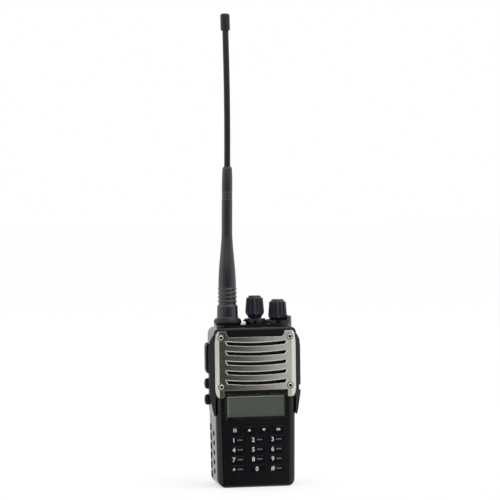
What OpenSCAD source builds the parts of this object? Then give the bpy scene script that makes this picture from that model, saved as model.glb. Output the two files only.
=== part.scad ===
// Handheld two way radio with a slotted metal grille, keypad, two knobs and a long whip antenna.
// Millimetres. The origin is the middle of the base, the front faces -Y and +Z points up.

/* [Case] */
// Width of the case across its base
body_w = 54.4; // [52:0.1:66]
// Depth of the radio with its battery on
body_d = 33; // [32:0.5:40]
// Height of the case from its base to its top deck
body_h = 110.5; // [109:0.5:134]
// Outward lean of each side, in degrees
side_lean = 0.8; // [0:0.1:1]
// Wall thickness of the case
wall = 2; // [1.7:0.1:2.4]
// Thickness of the top deck
deck_t = 2.5; // [2:0.1:3]
// Radius of the upright front edges
edge_r = 4.5; // [3:0.5:6]
// Radius of the two lower corners
corner_r = 6.5; // [4:0.5:8]
// Radius of the two upper corners
shoulder_r = 6.5; // [5:0.5:7]
// Radius of the front edge along the deck
deck_r = 1.6; // [0.8:0.1:2]
// How far the top part reaches back over the battery
deck_reach = 6.3; // [5.5:0.1:7]

/* [Side pods] */
// How far each pod stands out from the base's side
pod_out = 5; // [4.6:0.1:6]
// Length of a pod below the deck
pod_len = 61.5; // [60:0.5:66]
// How far the shield under the grille stands out from the base's side
shield_out = 1.6; // [1.2:0.1:2]
// Width of the shield's bevelled edge
shield_bevel = 3.4; // [3:0.1:4]
// Setback of the shield's edge behind the front face
shield_set = 1.3; // [0.8:0.1:1.6]
// Setback of a pod's front edge behind the front face
pod_set = 3.3; // [2.5:0.1:4]

/* [Grille] */
// Thickness of the metal plate
grille_t = 1; // [0.8:0.1:1.2]
// How far the plate stands proud of the shield
grille_proud = 0.3; // [0.1:0.1:0.5]
// Width of the bare shield left beside the plate
grille_margin = 0.5; // [0.3:0.1:1]
// Height of the plate from its ears to the tips of its legs
grille_h = 45.8; // [45:0.1:48]
// Number of slots
slot_count = 5; // [3:1:5]
// Height of a slot
slot_h = 2; // [1.5:0.1:2.4]
// Distance between slots
slot_pitch = 6.7; // [6:0.02:7]
// Radius of the curve that a slot follows
slot_curve = 188; // [150:1:260]
// Diameter of a plate screw's head
screw_head_d = 3.6; // [3.2:0.1:4]

/* [Display] */
// Width of the display that shows
lcd_w = 40; // [36:0.2:42]
// Height of the display that shows
lcd_h = 14.3; // [12:0.1:15]
// Width of the lens border around the display
lens_border = 1.7; // [1.2:0.1:2]
// Thickness of the lens
lens_t = 0.9; // [0.7:0.1:1]

/* [Keypad] */
// Width of a number key
key_w = 10.4; // [9:0.1:10.8]
// Height of a key
key_h = 4.9; // [4.2:0.1:5.1]
// Distance between number columns
key_dx = 13.63; // [13:0.01:14]
// Distance between rows
key_dz = 6.75; // [6.6:0.01:7]
// Height of the lowest row above the base
key_z = 12.8; // [11:0.05:14]
// Width of a function key
fn_w = 7.8; // [7:0.1:8.4]
// Distance between function keys
fn_dx = 10.15; // [9.8:0.01:10.6]
// How far a key stands proud of the case
key_proud = 0.7; // [0.4:0.1:1]
// Travel of a key
key_travel = 0.7; // [0.5:0.1:0.8]

/* [Side controls] */
// Length of the push-to-talk bar
ptt_len = 21; // [18:0.5:22]
// Width of the push-to-talk bar
ptt_w = 9.5; // [8:0.1:9.8]
// Travel of the push-to-talk bar
ptt_travel = 1.2; // [0.8:0.1:1.2]
// Diameter of a round side key
side_key_d = 7.4; // [6.4:0.1:7.8]
// Travel of a round side key
side_key_travel = 0.8; // [0.5:0.1:1]
// Diameter of the larger jack socket
jack_large_d = 3.6; // [3.5:0.05:3.7]
// Diameter of the smaller jack socket
jack_small_d = 2.6; // [2.5:0.05:2.7]
// Distance between the jack sockets
jack_pitch = 11.3; // [10.5:0.1:12]

/* [Knobs] */
// Widest diameter of a knob
knob_d = 13.2; // [12:0.1:14]
// Height of a knob
knob_h = 15.6; // [13:0.1:18]
// Number of finger flutes round a knob
knob_flutes = 12; // [8:1:14]
// Diameter of the knob shafts
shaft_d = 6; // [5.5:0.1:6.4]
// Distance between the knob shafts
knob_pitch = 16.2; // [15.5:0.1:17.5]
// Height of the channel knob's pedestal
channel_rise = 5.4; // [4.6:0.1:6]
// Height of the volume knob's pedestal
volume_rise = 2.5; // [2.4:0.1:4]

/* [Antenna] */
// Height of the antenna's tip above the deck
antenna_h = 217; // [150:1:260]
// Diameter of the whip
whip_d = 4.3; // [3.5:0.1:4.6]
// Diameter of the cap on the whip's tip
cap_d = 6.6; // [6:0.1:8]
// Length of the cap
cap_len = 12; // [8:0.5:16]
// Height of the rubber boot above the deck
boot_h = 111; // [90:1:130]
// Diameter of the boot at its foot
boot_d = 14.8; // [13.5:0.1:16]
// Diameter of the boot's slim upper sleeve
boot_top_d = 7.4; // [6.6:0.1:8]
// Number of flexing ribs round the boot
boot_ribs = 4; // [3:1:5]
// Diameter of the collar's foot
collar_d = 19.5; // [18.5:0.1:20.5]

/* [Battery] */
// Height of the battery
batt_h = 88; // [84:0.5:89]
// Thickness of the battery
batt_t = 12; // [11:0.1:13]
// Wall thickness of the battery's shell
batt_wall = 1.5; // [1.2:0.1:2]
// Radius of the battery's upright rear edges
batt_edge_r = 4; // [3:0.5:5]
// Number of grip recesses down each side of the battery
grip_count = 6; // [4:1:6]
// Distance between grip recesses
grip_pitch = 6.6; // [6:0.1:7]
// Distance between the belt clip's two screw holes
clip_pitch = 25; // [20:0.5:28]
// Diameter of the belt clip's screw holes
clip_hole_d = 2.5; // [2:0.1:3]

/* [Hidden] */
$fn = 64;

// Clearances
seat_gap = 0.15;
slide_gap = 0.2;
body_gap = 0.3;
shaft_gap = 0.05;
past = 1;

// Depths, from the front face to the back
yf = -body_d / 2;
yb = body_d / 2;
y_in = yf + wall;
y_split = yb - batt_t - body_gap;
y_deck = y_split + deck_reach;
z_shelf = batt_h + body_gap;

// Widths
base_x = body_w / 2;
shield_x = base_x + shield_out;
flat_x = shield_x - shield_bevel;
pod_x = base_x + pod_out;
pod_rear_x = base_x + 1;
shield_deep = 6;
ledge = 0.8;
cav_x = base_x - wall;
ledge_x = cav_x - ledge;
reach = body_w * 1.5;
function side_x(z) = base_x + z * tan(side_lean);

// Inside floors and ceilings
z_floor = wall + 0.2;
z_ceiling = body_h - deck_t;
chassis_t = 3.5;
y_chassis = y_split - chassis_t;
seal_t = 1;
y_ledge = y_chassis - seal_t;
shelf_t = 2.5;

// Grille, measured down from the deck
grille_x = shield_x - grille_margin;
grille_top = body_h - 2.3;
notch_z = grille_top - 4.2;
notch_x = flat_x - 5.1;
notch_cut = 2;
grille_foot = grille_top - grille_h;
grille_low = grille_foot + 5;
leg_in_x = flat_x - 3;
screw_x = flat_x - 1.3;
screw_hi = body_h - 6.5;
screw_lo = body_h - 40.5;
slot_x = flat_x - 5.1;
slot_shift = 0.6;
slot_mid = body_h - 25.2;
slot_slant = 32;
slot_lip = 0.85;
slot_lip_deep = 0.7;
slot_end_lip = 0.8;
slot_foot_lip = 0.15;
slot_sag = slot_curve - sqrt(slot_curve * slot_curve - slot_x * slot_x);
slot_z = [for (i = [0 : slot_count - 1]) slot_mid + ((slot_count - 1) / 2 - i) * slot_pitch];
screw_spots = [for (z = [screw_hi, screw_lo], s = [-1, 1]) [s * screw_x, z]];
screw_d = 2;
screw_len = 5;
screw_ring = 0.5;
screw_sink = 0.5;
screw_head_t = 1.1;
screw_socket = 2.1;
screw_turn = 40;
boss_d = 5;
boss_len = 5.2;

// Display
lcd_z = body_h - 54.5;
lens_w = lcd_w + 2 * lens_border;
lens_h = lcd_h + 2 * lens_border;
lens_proud = 0.15;
lens_cut = 0.45;
lcd_t = 2;
lcd_edge = 2.4;
holder_rim = 0.8;
shield_foot = grille_foot - 1;

// Keypad stack behind the front wall
key_r = 0.9;
key_flange = 0.6;
key_flange_t = 0.7;
key_bevel = 0.35;
y_flange = y_in + seat_gap;
y_mat = y_flange + key_flange_t + key_travel + 0.25;
mat_t = 1.2;
y_kb = y_mat + mat_t;
board_t = 1.2;
mic_back = 1.4;
mic_port_d = 1.2;
dome_d = 4;
dome_t = 0.3;
plunger_d = 2.4;
plunger_tip = y_kb - dome_t - key_travel - 0.1;
mat_hole_d = dome_d + 0.6;
mat_x = key_dx + key_w / 2 + key_flange + 0.4;
mat_z0 = key_z - key_h / 2 - 2;
mat_z1 = key_z + 4 * key_dz + key_h / 2 + 2;
kb_z0 = z_floor + 2.3;
kb_z1 = lcd_z + lcd_h / 2 + 3.5;
kb_x = ledge_x - 0.5;
kb_cut = 0.3 * corner_r;
kb_boss_x = mat_x + 2.3;
kb_boss_d = 4;
kb_boss_z = [kb_z0 + 3, mat_z1 - 1.5];
small_screw_d = 1.6;
small_head_d = 3;
small_head_t = 1.1;

// Main board on the chassis
standoff = 5.3;
y_mb = y_chassis - standoff - board_t;
mb_x = ledge_x - 1.3;
mb_z0 = 6;
mb_z1 = z_ceiling - 9.5;
mb_screws = [for (z = [12, lcd_z + 6], s = [-1, 1]) [s * (mb_x - 4), z]];
standoff_d = 4.6;
shield_t = 3;
shield_can = [30, 36];
shield_can_z = 36;

// Speaker
spk_d = 38;
spk_z = slot_mid + 1.7;
mesh_t = 0.4;
y_spk = y_in + mesh_t;
spk_rim_t = 2;
spk_t = 6;
magnet_d = 20;
spk_ring = 1.2;

// Push-to-talk bar and side keys on the left pod
side_y = yf + 12.3;
ptt_z = body_h - 21;
side_key_z = [body_h - 38.8, body_h - 49.9];
pod_seat_x = pod_x - 3.2;
pod_flange_t = 0.8;
pod_flange = 1;
ptt_out_x = pod_x + 1.4;
side_key_out_x = pod_x + 1.9;
side_board_t = 0.8;
switch_h = 1.5;
switch_top_x = ledge_x + switch_h;
ptt_tip_x = switch_top_x + ptt_travel + seat_gap;
side_key_tip_x = switch_top_x + side_key_travel + seat_gap;
side_board_z0 = side_key_z[1] - 5.5;
side_board_z1 = ptt_z + ptt_len / 2 + 1;

// Jack block and its cover on the right pod
cover_w = 10.4;
cover_z1 = body_h - 9.5;
cover_z0 = body_h - 40.5;
notch_low_z = body_h - 44;
notch_deep = 1.3;
cover_t = 2.3;
cover_floor_x = pod_x - 3.1;
cover_in_x = cover_floor_x + seat_gap;
cover_out_x = cover_in_x + cover_t;
hinge_r = 1.15;
hinge_x = cover_in_x + 0.65;
hinge_z = cover_z1 - hinge_r;
hinge_w = 5;
hinge_y = side_y - 1.3;
hinge_shoulder = 2.85;
hinge_ear = 2.2;
trunnion_d = 1.2;
trunnion_len = 1.2;
jack_z = (cover_z0 + cover_z1) / 2 - 1.5;
jack_block_h = jack_pitch + 8.4;
jack_block_w = 7.6;
jack_depth = 12;
jack_tail_x = cover_floor_x - jack_depth - 1.2;
jack_notch_x = jack_tail_x - 1.5;

// Knobs
volume_x = base_x - 8.3;
channel_x = volume_x - knob_pitch;
knob_y = 0;
pedestal_d = 13.2;
dial_d = 16.4;
dial_top_d = 14.4;
dial_t = 1;
link_w = 11;
platform_rise = 1.8;
platform_root = 2;
platform_in_y = yf + 5.2;
platform_out_y = y_deck - 1;
platform_r = 6;
platform_in_x = -(base_x - 1.7);
platform_out_x = base_x - 1.3;
fin_in_r = knob_d / 2 + 1.2;
fin_out_r = fin_in_r + 1.8;
fin_rise = 6.9;
fin_low = 4.3;
fin_low_x = 3;
fin_top_r = 0.6;
fin_root = shoulder_r - past;
knob_gap = 0.3;
knob_top_d = 8.2;
knob_shoulder_d = 11.6;
knob_neck_d = 9.3;
knob_neck_h = 0.6;
knob_cone_h = 2.7;
knob_crown_h = 1.9;
flute_d = 2.6;
flute_deep = 0.85;
bushing_d = 7.6;
bushing_top = 0.2;
nut_d = 10;
nut_t = 1.8;
control_w = 2 * (ledge_x - volume_x - slide_gap);
control_h = 6.5;
shaft_in = 4;
shaft_up = 11;

// Antenna
antenna_x = -(base_x - 10.7);
antenna_y = 0;
collar_foot_d = collar_d - 2.9;
collar_top_d = collar_d - 4.3;
collar_h = 6;
collar_bore_d = 10.8;
connector_d = 10.4;
stud_d = 6;
stud_h = 13;
spigot_d = 9;
spigot_len = 6;
boot_foot = collar_h + 0.1;
plug_d = 9;
plug_top = 16;
rib_low = 14.75;
rib_pitch = 2.9;
rib_mean_d = 13.7;
taper_low = rib_low + boot_ribs * rib_pitch + 0.8;
taper_low_d = 12.4;
taper_mid = 46;
taper_mid_d = 10.4;
taper_high = 63;
sleeve_ring_h = 90;
sleeve_ring_pitch = 2.2;
sleeve_ring_deep = 0.35;

// Small deck light
led_x = (channel_x + volume_x) / 2;
led_y = yf + 8.2;
led_d = 2.6;

// Battery
y_batt = y_split + body_gap;
batt_cover_t = 1.5;
y_batt_shell = y_batt + batt_cover_t;
grip_z = 7;
grip_deep = 0.8;
grip_len = 5.4;
grip_w = 6.5;
case_grip_len = 3.4;
case_grip_w = 6;
hook_x = 19.5;
hook_head_w = 4;
hook_neck_w = 2;
hook_head_t = 0.7;
hook_len = 6;
hook_z = [14, 62];
hook_skin = 1.2;
y_hook = y_chassis + hook_skin + body_gap;
cell_w = 20.5;
cell_h = 62;
cell_z = 12;
contact_x = [-6, 0, 6];
contact_d = 3;
contact_z = 34;
charge_x = [-9, 9];
charge_d = 5;
charge_z = 12;

// Latch in the upper back
back_top = body_h - 0.4;
back_gap = seat_gap;
y_back = y_deck + back_gap;
back_wall = 2.5;
back_edge_r = 4;
latch_w = 12;
latch_z0 = z_shelf + shelf_t + body_gap;
latch_h = 5.6;
latch_travel = 2;
latch_button_w = 10;
latch_button_h = 4.4;
tooth_w = 7;
tooth_t = 1.8;
batt_shoulder = 5;
y_latch = yb - back_wall - body_gap - tooth_t;
tooth_foot = batt_h + yb - batt_shoulder - y_latch + body_gap * sqrt(2);
spring_r = 0.9;
spring_wire = 0.5;
spring_turns = 5;
clip_z = back_top - 5.2;
clip_boss_d = 6;
base_screw_x = [-8, 8];
base_screw_y = y_chassis + chassis_t / 2;
base_screw_sink = 1.3;
base_screw_len = 5.5;

// Rounded rectangle about the origin, with true arcs
module round_rect(w, h, r) {
    square([w - 2 * r, h], center = true);
    square([w, h - 2 * r], center = true);
    for (sx = [-1, 1], sy = [-1, 1])
        translate([sx * (w / 2 - r), sy * (h / 2 - r)]) circle(r);
}

// Softens the outer corners of an outline
module soften(r) {
    offset(r = r) offset(delta = -r) children();
}

// Front-view outline carried from y0 back to y1
module along_y(y0, y1) {
    translate([0, y1, 0]) rotate([90, 0, 0]) linear_extrude(y1 - y0) children();
}

// Side-view outline, depth across and height up, carried from x0 to x1
module along_x(x0, x1) {
    translate([x0, 0, 0]) rotate([90, 0, 90]) linear_extrude(x1 - x0) children();
}

// Plan outline carried up from z0 to z1
module along_z(z0, z1) {
    translate([0, 0, z0]) linear_extrude(z1 - z0) children();
}

// Round bar along Y
module bar_y(d, y0, y1) {
    translate([0, y0, 0]) rotate([-90, 0, 0]) cylinder(d = d, h = y1 - y0);
}

// Round bar along X
module bar_x(d, x0, x1) {
    translate([x0, 0, 0]) rotate([0, 90, 0]) cylinder(d = d, h = x1 - x0);
}

// Box from one corner to the other
module box(low, high) {
    translate(low) cube(high - low);
}

module both_sides() {
    children();
    mirror([1, 0, 0]) children();
}

// Upright slab whose right side leans out, with rounded front and rear edges on that side
module leaning_slab(y0, y1, front_r, rear_r) {
    translate([base_x, 0, 0]) rotate([0, side_lean, 0]) along_z(-10, body_h + 10) {
        translate([-reach, y0 + front_r]) square([reach, y1 - y0 - front_r - rear_r]);
        translate([-reach, y0]) square([reach - max(front_r, rear_r), y1 - y0]);
        if (front_r > 0) translate([-front_r, y0 + front_r]) circle(front_r);
        if (rear_r > 0) translate([-rear_r, y1 - rear_r]) circle(rear_r);
    }
}

// Front-view outline from the base up, with rounded lower corners
module base_outline(top, inset) {
    r = corner_r - inset;
    corner_x = side_x(corner_r) - corner_r;
    translate([-reach / 2, corner_r]) square([reach, top - corner_r]);
    translate([-corner_x, inset]) square([2 * corner_x, corner_r - inset + 0.01]);
    for (s = [-1, 1]) translate([s * corner_x, corner_r]) circle(r);
}

// Front-view outline that rounds the two upper corners
module shoulder_outline() {
    corner_x = side_x(body_h - shoulder_r) - shoulder_r;
    translate([-reach / 2, -past]) square([reach, body_h - shoulder_r + past]);
    translate([-corner_x, 0]) square([2 * corner_x, body_h]);
    for (s = [-1, 1]) translate([s * corner_x, body_h - shoulder_r]) circle(shoulder_r);
}

// Block between two depths that widens upwards like the case
module tapered_block(y0, y1, front_r, rear_r, top) {
    intersection() {
        leaning_slab(y0, y1, front_r, rear_r);
        mirror([1, 0, 0]) leaning_slab(y0, y1, front_r, rear_r);
        along_y(y0 - past, y1 + past) base_outline(top, 0);
    }
}

// Side-view outline of the front case: deep at the top, shallow over the battery
module case_profile() {
    translate([yf + deck_r, 0]) square([y_split - yf - deck_r, body_h]);
    translate([yf, deck_r]) square([y_split - yf, body_h - 2 * deck_r]);
    for (z = [deck_r, body_h - deck_r]) translate([yf + deck_r, z]) circle(deck_r);
    translate([y_split - past, z_shelf]) square([y_deck - y_split + past, body_h - z_shelf]);
}

// Plan outline of the shield and its pods
module pod_plan() {
    right = [
        [flat_x, yf], [shield_x, yf + shield_set], [pod_x, yf + pod_set],
        [pod_x - 0.7, yf + 10.5], [pod_x - 1.2, yf + 15.5], [pod_rear_x, y_split]
    ];
    left = [for (i = [len(right) - 1 : -1 : 0]) [-right[i].x, right[i].y]];
    soften(0.8) polygon(concat(right, left));
}

// Front-view outline of the shield under the grille
module shield_outline() {
    translate([0, (body_h + shield_foot) / 2])
        round_rect(2 * shield_x, body_h - shield_foot, 4);
}

// Front-view outline of one pod, with its tip drawn in below and its shoulder above
module pod_outline() {
    tip = body_h - pod_len;
    soften(0.5) polygon([
        [shield_x - 0.6, tip - 0.3], [shield_x + 0.5, tip + 1.4], [pod_x - 2.2, tip + 4.2],
        [pod_x, tip + 17], [pod_x, body_h - 15], [pod_x - 0.7, body_h - 8.8],
        [shield_x + 0.6, body_h - 4.8], [shield_x - 0.6, body_h - 4.8]
    ]);
}

// Front-view outline of the grille plate: ears, legs and the drop between the ears
module grille_outline() {
    right = [
        [notch_x - notch_cut, notch_z], [notch_x, notch_z + notch_cut], [notch_x, grille_top],
        [grille_x - 2, grille_top], [grille_x - 0.7, grille_top - 2.4], [grille_x, grille_top - 8], [grille_x, grille_foot + 6],
        [grille_x - 0.5, grille_foot + 2.6], [grille_x - 1.5, grille_foot + 0.8],
        [grille_x - 2.8, grille_foot],
        [leg_in_x, grille_foot], [leg_in_x, grille_low]
    ];
    left = [for (i = [len(right) - 1 : -1 : 0]) [-right[i].x, right[i].y]];
    soften(0.8) polygon(concat(right, left));
}

// Front-view shape that ends a slot on both sides along slanted lines
module slot_ends(grow) {
    tall = slot_h + slot_lip + 2;
    low = slot_x + grow - (tall + slot_sag) * tan(slot_slant);
    high = slot_x + grow + (tall - slot_sag) * tan(slot_slant);
    translate([slot_shift, 0]) polygon([[-low, -tall], [low, -tall], [high, tall], [-high, tall]]);
}

// One curved slot with slanted ends, longer along its upper edge
module slot_outline(grow) {
    intersection() {
        translate([0, slot_curve]) difference() {
            circle(slot_curve + slot_h / 2 + grow, $fn = 360);
            circle(slot_curve - slot_h / 2 - grow, $fn = 360);
        }
        slot_ends(grow);
    }
}

// Bevels round a slot, opening towards the front: tall above it, slight below and at the ends
module slot_bevel() {
    inner = slot_curve - slot_h / 2;
    outer = slot_curve + slot_h / 2;
    front = yf - grille_proud;
    intersection() {
        translate([0, front, slot_curve]) rotate([90, 0, 0]) rotate_extrude($fn = 360) {
            polygon([
                [inner - slot_lip, 0.2], [inner + 0.1, 0.2], [inner + 0.1, -slot_lip_deep],
                [inner, -slot_lip_deep], [inner - slot_lip, 0]
            ]);
            polygon([
                [outer + slot_foot_lip, 0.2], [outer - 0.1, 0.2], [outer - 0.1, -slot_foot_lip],
                [outer, -slot_foot_lip], [outer + slot_foot_lip, 0]
            ]);
        }
        along_y(front - 1, front + 2) slot_ends(slot_end_lip / 2);
    }
    translate([slot_shift, 0, 0]) both_sides() translate([slot_x, 0, slot_sag]) rotate([0, slot_slant, 0])
        translate([0, 0, -(slot_h / 2 + slot_foot_lip) / cos(slot_slant)])
            linear_extrude((slot_h + slot_foot_lip + slot_lip * 0.8) / cos(slot_slant)) polygon([
                [-0.1, front - 0.2], [slot_end_lip, front - 0.2], [slot_end_lip, front],
                [0, front + slot_lip_deep], [-0.1, front + slot_lip_deep]
            ]);
}

// Solid outer form of the front case before it is hollowed
module case_form() {
    intersection() {
        leaning_slab(yf, y_deck, edge_r, 0);
        mirror([1, 0, 0]) leaning_slab(yf, y_deck, edge_r, 0);
        along_y(yf - past, y_deck + past) intersection() {
            base_outline(body_h, 0);
            shoulder_outline();
        }
        along_x(-pod_x, pod_x) case_profile();
    }
    intersection() {
        along_z(0, body_h) pod_plan();
        union() {
            along_y(yf, yf + shield_deep) shield_outline();
            along_y(yf, y_split) {
                intersection() {
                    shield_outline();
                    shoulder_outline();
                }
                both_sides() pod_outline();
            }
        }
        along_x(-pod_x, pod_x) case_profile();
    }
    deck_form();
}

// Raised platform, pedestals, antenna seat and the cup with its guard round the outer knob
module deck_form() {
    translate([antenna_x, antenna_y, body_h - shoulder_r])
        cylinder(d = collar_foot_d, h = shoulder_r + platform_rise);
    translate([(platform_in_x + platform_out_x) / 2, (platform_in_y + platform_out_y) / 2, 0])
        along_z(body_h - platform_root, body_h + platform_rise)
            round_rect(platform_out_x - platform_in_x, platform_out_y - platform_in_y, platform_r);
    translate([0, 0, body_h - past]) {
        translate([channel_x, knob_y, 0]) {
            cylinder(d = pedestal_d, h = channel_rise + past);
            translate([0, 0, channel_rise + past - 2 * dial_t]) cylinder(d = dial_d, h = dial_t + 0.01);
            translate([0, 0, channel_rise + past - dial_t])
                cylinder(d1 = dial_top_d + 0.8, d2 = dial_top_d, h = dial_t);
        }
        box([channel_x, knob_y - link_w / 2, 0],
            [volume_x - fin_in_r - 0.1, knob_y + link_w / 2, fin_low + past]);
        translate([volume_x, knob_y, 0]) {
            cylinder(r = fin_in_r + 0.1, h = volume_rise + past);
            intersection() {
                translate([0, 0, -fin_root]) difference() {
                    cylinder(r = fin_out_r, h = fin_root + fin_rise + 2 * past);
                    translate([0, 0, -past]) cylinder(r = fin_in_r, h = fin_root + fin_rise + 4 * past);
                }
                along_y(-fin_out_r - past, fin_out_r + past) soften(fin_top_r) polygon([
                    [-fin_out_r - 1, -fin_root - 1], [-fin_out_r - 1, fin_low + past],
                    [fin_low_x, fin_low + past], [fin_low_x + 2, fin_low + 0.6],
                    [fin_in_r - 1.6, fin_rise - 1.3], [fin_in_r - 0.2, fin_rise + past],
                    [fin_out_r - 0.8, fin_rise + past], [fin_out_r - 0.2, fin_low],
                    [fin_out_r + 1, 0], [fin_out_r + 1, -fin_root - 1]
                ]);
            }
        }
    }
}

// Space inside the front case, stepped at the rear for the seal and the chassis
module case_cavity() {
    for (step = [[y_in, y_ledge, ledge_x, ledge], [y_ledge, y_split + past, cav_x, 0]]) {
        along_y(step[0], step[1]) intersection() {
            base_outline(z_ceiling, z_floor + step[3]);
            translate([-step[2], 0]) square([2 * step[2], z_ceiling]);
        }
    }
    box([-cav_x, y_split - past, z_shelf - past], [cav_x, y_deck + past, z_ceiling]);
}

// Push-to-talk and side key holes with their flange pockets, on the left pod
module left_pod_holes() {
    hole_w = ptt_w + 2 * slide_gap;
    hole_h = ptt_len + 2 * slide_gap;
    pocket = 2 * pod_flange + 2 * slide_gap;
    translate([0, side_y, ptt_z]) {
        along_x(-pod_x - past, -pod_seat_x + past) round_rect(hole_w, hole_h, 2 + slide_gap);
        along_x(-pod_seat_x, -ledge_x + past) square([ptt_w + pocket, ptt_len + pocket], center = true);
    }
    for (z = side_key_z) translate([0, side_y, z]) {
        bar_x(side_key_d + 2 * slide_gap, -pod_x - past, -pod_seat_x + past);
        bar_x(side_key_d + pocket, -pod_seat_x, -ledge_x + past);
    }
}

// Recess for the jack cover with its hinge slot, finger notch and block hole, on the right pod
module right_pod_holes() {
    recess_w = cover_w + 2 * slide_gap;
    slot_w = hinge_w + 2 * slide_gap;
    box([cover_floor_x, side_y - recess_w / 2, cover_z0 - slide_gap],
        [pod_x + past, side_y + recess_w / 2, hinge_z - hinge_ear]);
    box([hinge_x - hinge_r - body_gap, hinge_y - slot_w / 2, hinge_z - hinge_ear - past],
        [pod_x + past, hinge_y + slot_w / 2, cover_z1 + 2 * body_gap]);
    box([pod_x - notch_deep, yf, notch_low_z],
        [pod_x + past, side_y + recess_w / 2, cover_z0]);
    translate([hinge_x, 0, hinge_z])
        bar_y(trunnion_d + 2 * shaft_gap, hinge_y - slot_w / 2 - trunnion_len - slide_gap,
              hinge_y + slot_w / 2 + trunnion_len + slide_gap);
    box([cav_x - past, side_y - jack_block_w / 2 - 0.1, jack_z - jack_block_h / 2 - 0.1],
        [cover_floor_x + past, side_y + jack_block_w / 2 + 0.1, jack_z + jack_block_h / 2 + 0.1]);
}

// Centres of the keys: sixteen rows of name, place across, place up and width
function number_spot(i) = [(i % 3 - 1) * key_dx, key_z + (3 - floor(i / 3)) * key_dz, key_w];
function function_spot(i) = [(i - 1.5) * fn_dx, key_z + 4 * key_dz, fn_w];
key_spots = concat([for (i = [0 : 11]) number_spot(i)], [for (i = [0 : 3]) function_spot(i)]);

// Grip recesses stepped down the sides at one height of the row
module grip_cuts(y0, width, len, first, count) {
    for (i = [0 : count - 1], s = [-1, 1]) {
        z = first + i * grip_pitch;
        x = side_x(z);
        translate([s * x, y0 + width / 2, z]) rotate([0, s * side_lean, 0])
            along_x(-grip_deep, grip_deep) round_rect(width, len, len / 2 - 0.3);
    }
}

// Holes and recesses in the front face
module front_openings() {
    plate_floor = grille_t - grille_proud;
    intersection() {
        along_y(yf - 2, yf + pod_set) offset(delta = slide_gap) grille_outline();
        along_z(0, body_h + past) difference() {
            translate([-pod_x, yf - 2]) square([2 * pod_x, pod_set + 4]);
            offset(delta = -plate_floor) pod_plan();
        }
    }
    for (z = slot_z) translate([0, 0, z]) along_y(yf, y_in + past) slot_outline(-0.2);
    for (spot = screw_spots) translate([spot.x, 0, spot.y])
        bar_y(screw_d + 0.1, yf, y_in + boss_len);
    translate([0, 0, lcd_z]) {
        along_y(yf - past, y_in + past) square([lcd_w, lcd_h], center = true);
        along_y(yf - past, yf + lens_t + 0.3)
            round_rect(lens_w + 2 * seat_gap, lens_h + 2 * seat_gap, 1);
    }
    for (spot = key_spots) translate([spot.x, 0, spot.y]) along_y(yf - past, y_in + past)
        round_rect(spot[2] + 2 * slide_gap, key_h + 2 * slide_gap, key_r + slide_gap);
}

// Bosses and the speaker ring that stand on the inside of the front wall
module front_bosses() {
    for (spot = screw_spots) translate([spot.x, 0, spot.y]) bar_y(boss_d, y_in - past, y_in + boss_len);
    for (z = kb_boss_z, s = [-1, 1]) translate([s * kb_boss_x, 0, z]) bar_y(kb_boss_d, y_in - past, y_kb);
    translate([0, 0, spk_z]) difference() {
        bar_y(spk_d + 2 * (spk_ring + slide_gap), y_in - past, y_spk + spk_rim_t);
        bar_y(spk_d + 2 * slide_gap, y_in - 2 * past, y_spk + spk_rim_t + past);
    }
}

// Shaft, connector, light, microphone and rail openings through the deck and the floor
module deck_and_floor_holes() {
    for (control = [[channel_x, channel_rise], [volume_x, volume_rise]])
        translate([control[0], knob_y, 0]) {
            translate([0, 0, z_ceiling - past])
                cylinder(d = bushing_d + 0.2, h = deck_t + control[1] + 2 * past);
            translate([0, 0, body_h + control[1] - nut_t - seat_gap])
                cylinder(d = nut_d + 0.4, h = nut_t + past);
        }
    for (hole = [[antenna_x, antenna_y, spigot_d], [led_x, led_y, led_d]])
        translate([hole[0], hole[1], z_ceiling - past])
            cylinder(d = hole[2] + 0.1, h = deck_t + platform_rise + 2 * past);
    translate([0, y_kb - mic_back, -past]) cylinder(d = mic_port_d, h = z_floor + 3 * past);
    for (x = base_screw_x) translate([x, base_screw_y, -past]) {
        cylinder(d = small_screw_d + 0.2, h = z_floor + 3 * past);
        cylinder(d = small_head_d + 0.4, h = base_screw_sink + past);
    }
    for (s = [-1, 1]) translate([s * hook_x, 0, 0])
        box([-hook_head_w / 2 - body_gap, y_hook - body_gap, -past],
            [hook_head_w / 2 + body_gap, y_split + past, z_floor + past]);
}

module front_case() {
    color("#17191c") difference() {
        union() {
            difference() {
                case_form();
                case_cavity();
            }
            front_bosses();
        }
        front_openings();
        left_pod_holes();
        right_pod_holes();
        deck_and_floor_holes();
        grip_cuts(yf + 10.5, case_grip_w, case_grip_len, grip_z + grip_pitch / 2, grip_count - 1);
        for (z = kb_boss_z, s = [-1, 1]) translate([s * kb_boss_x, 0, z])
            bar_y(small_screw_d + 0.1, y_in + 0.2, y_kb + past);
    }
}

// Plate with bent edges: the shield's plan given a thickness, cut to the plate's outline
module speaker_grille() {
    color("#9a978c") difference() {
        intersection() {
            along_y(yf - 2, yf + pod_set) grille_outline();
            along_z(grille_foot - past, grille_top + past) difference() {
                offset(delta = grille_proud) pod_plan();
                offset(delta = grille_proud - grille_t) pod_plan();
            }
        }
        for (z = slot_z) translate([0, 0, z]) {
            along_y(yf - 2, yf + 2) slot_outline(0);
            slot_bevel();
        }
        for (spot = screw_spots) translate([spot.x, 0, spot.y]) {
            bar_y(screw_d + 0.4, yf - 2, yf + 2);
            bar_y(screw_head_d + 2 * screw_ring, yf - 2, yf - grille_proud + screw_sink);
        }
    }
}

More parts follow.
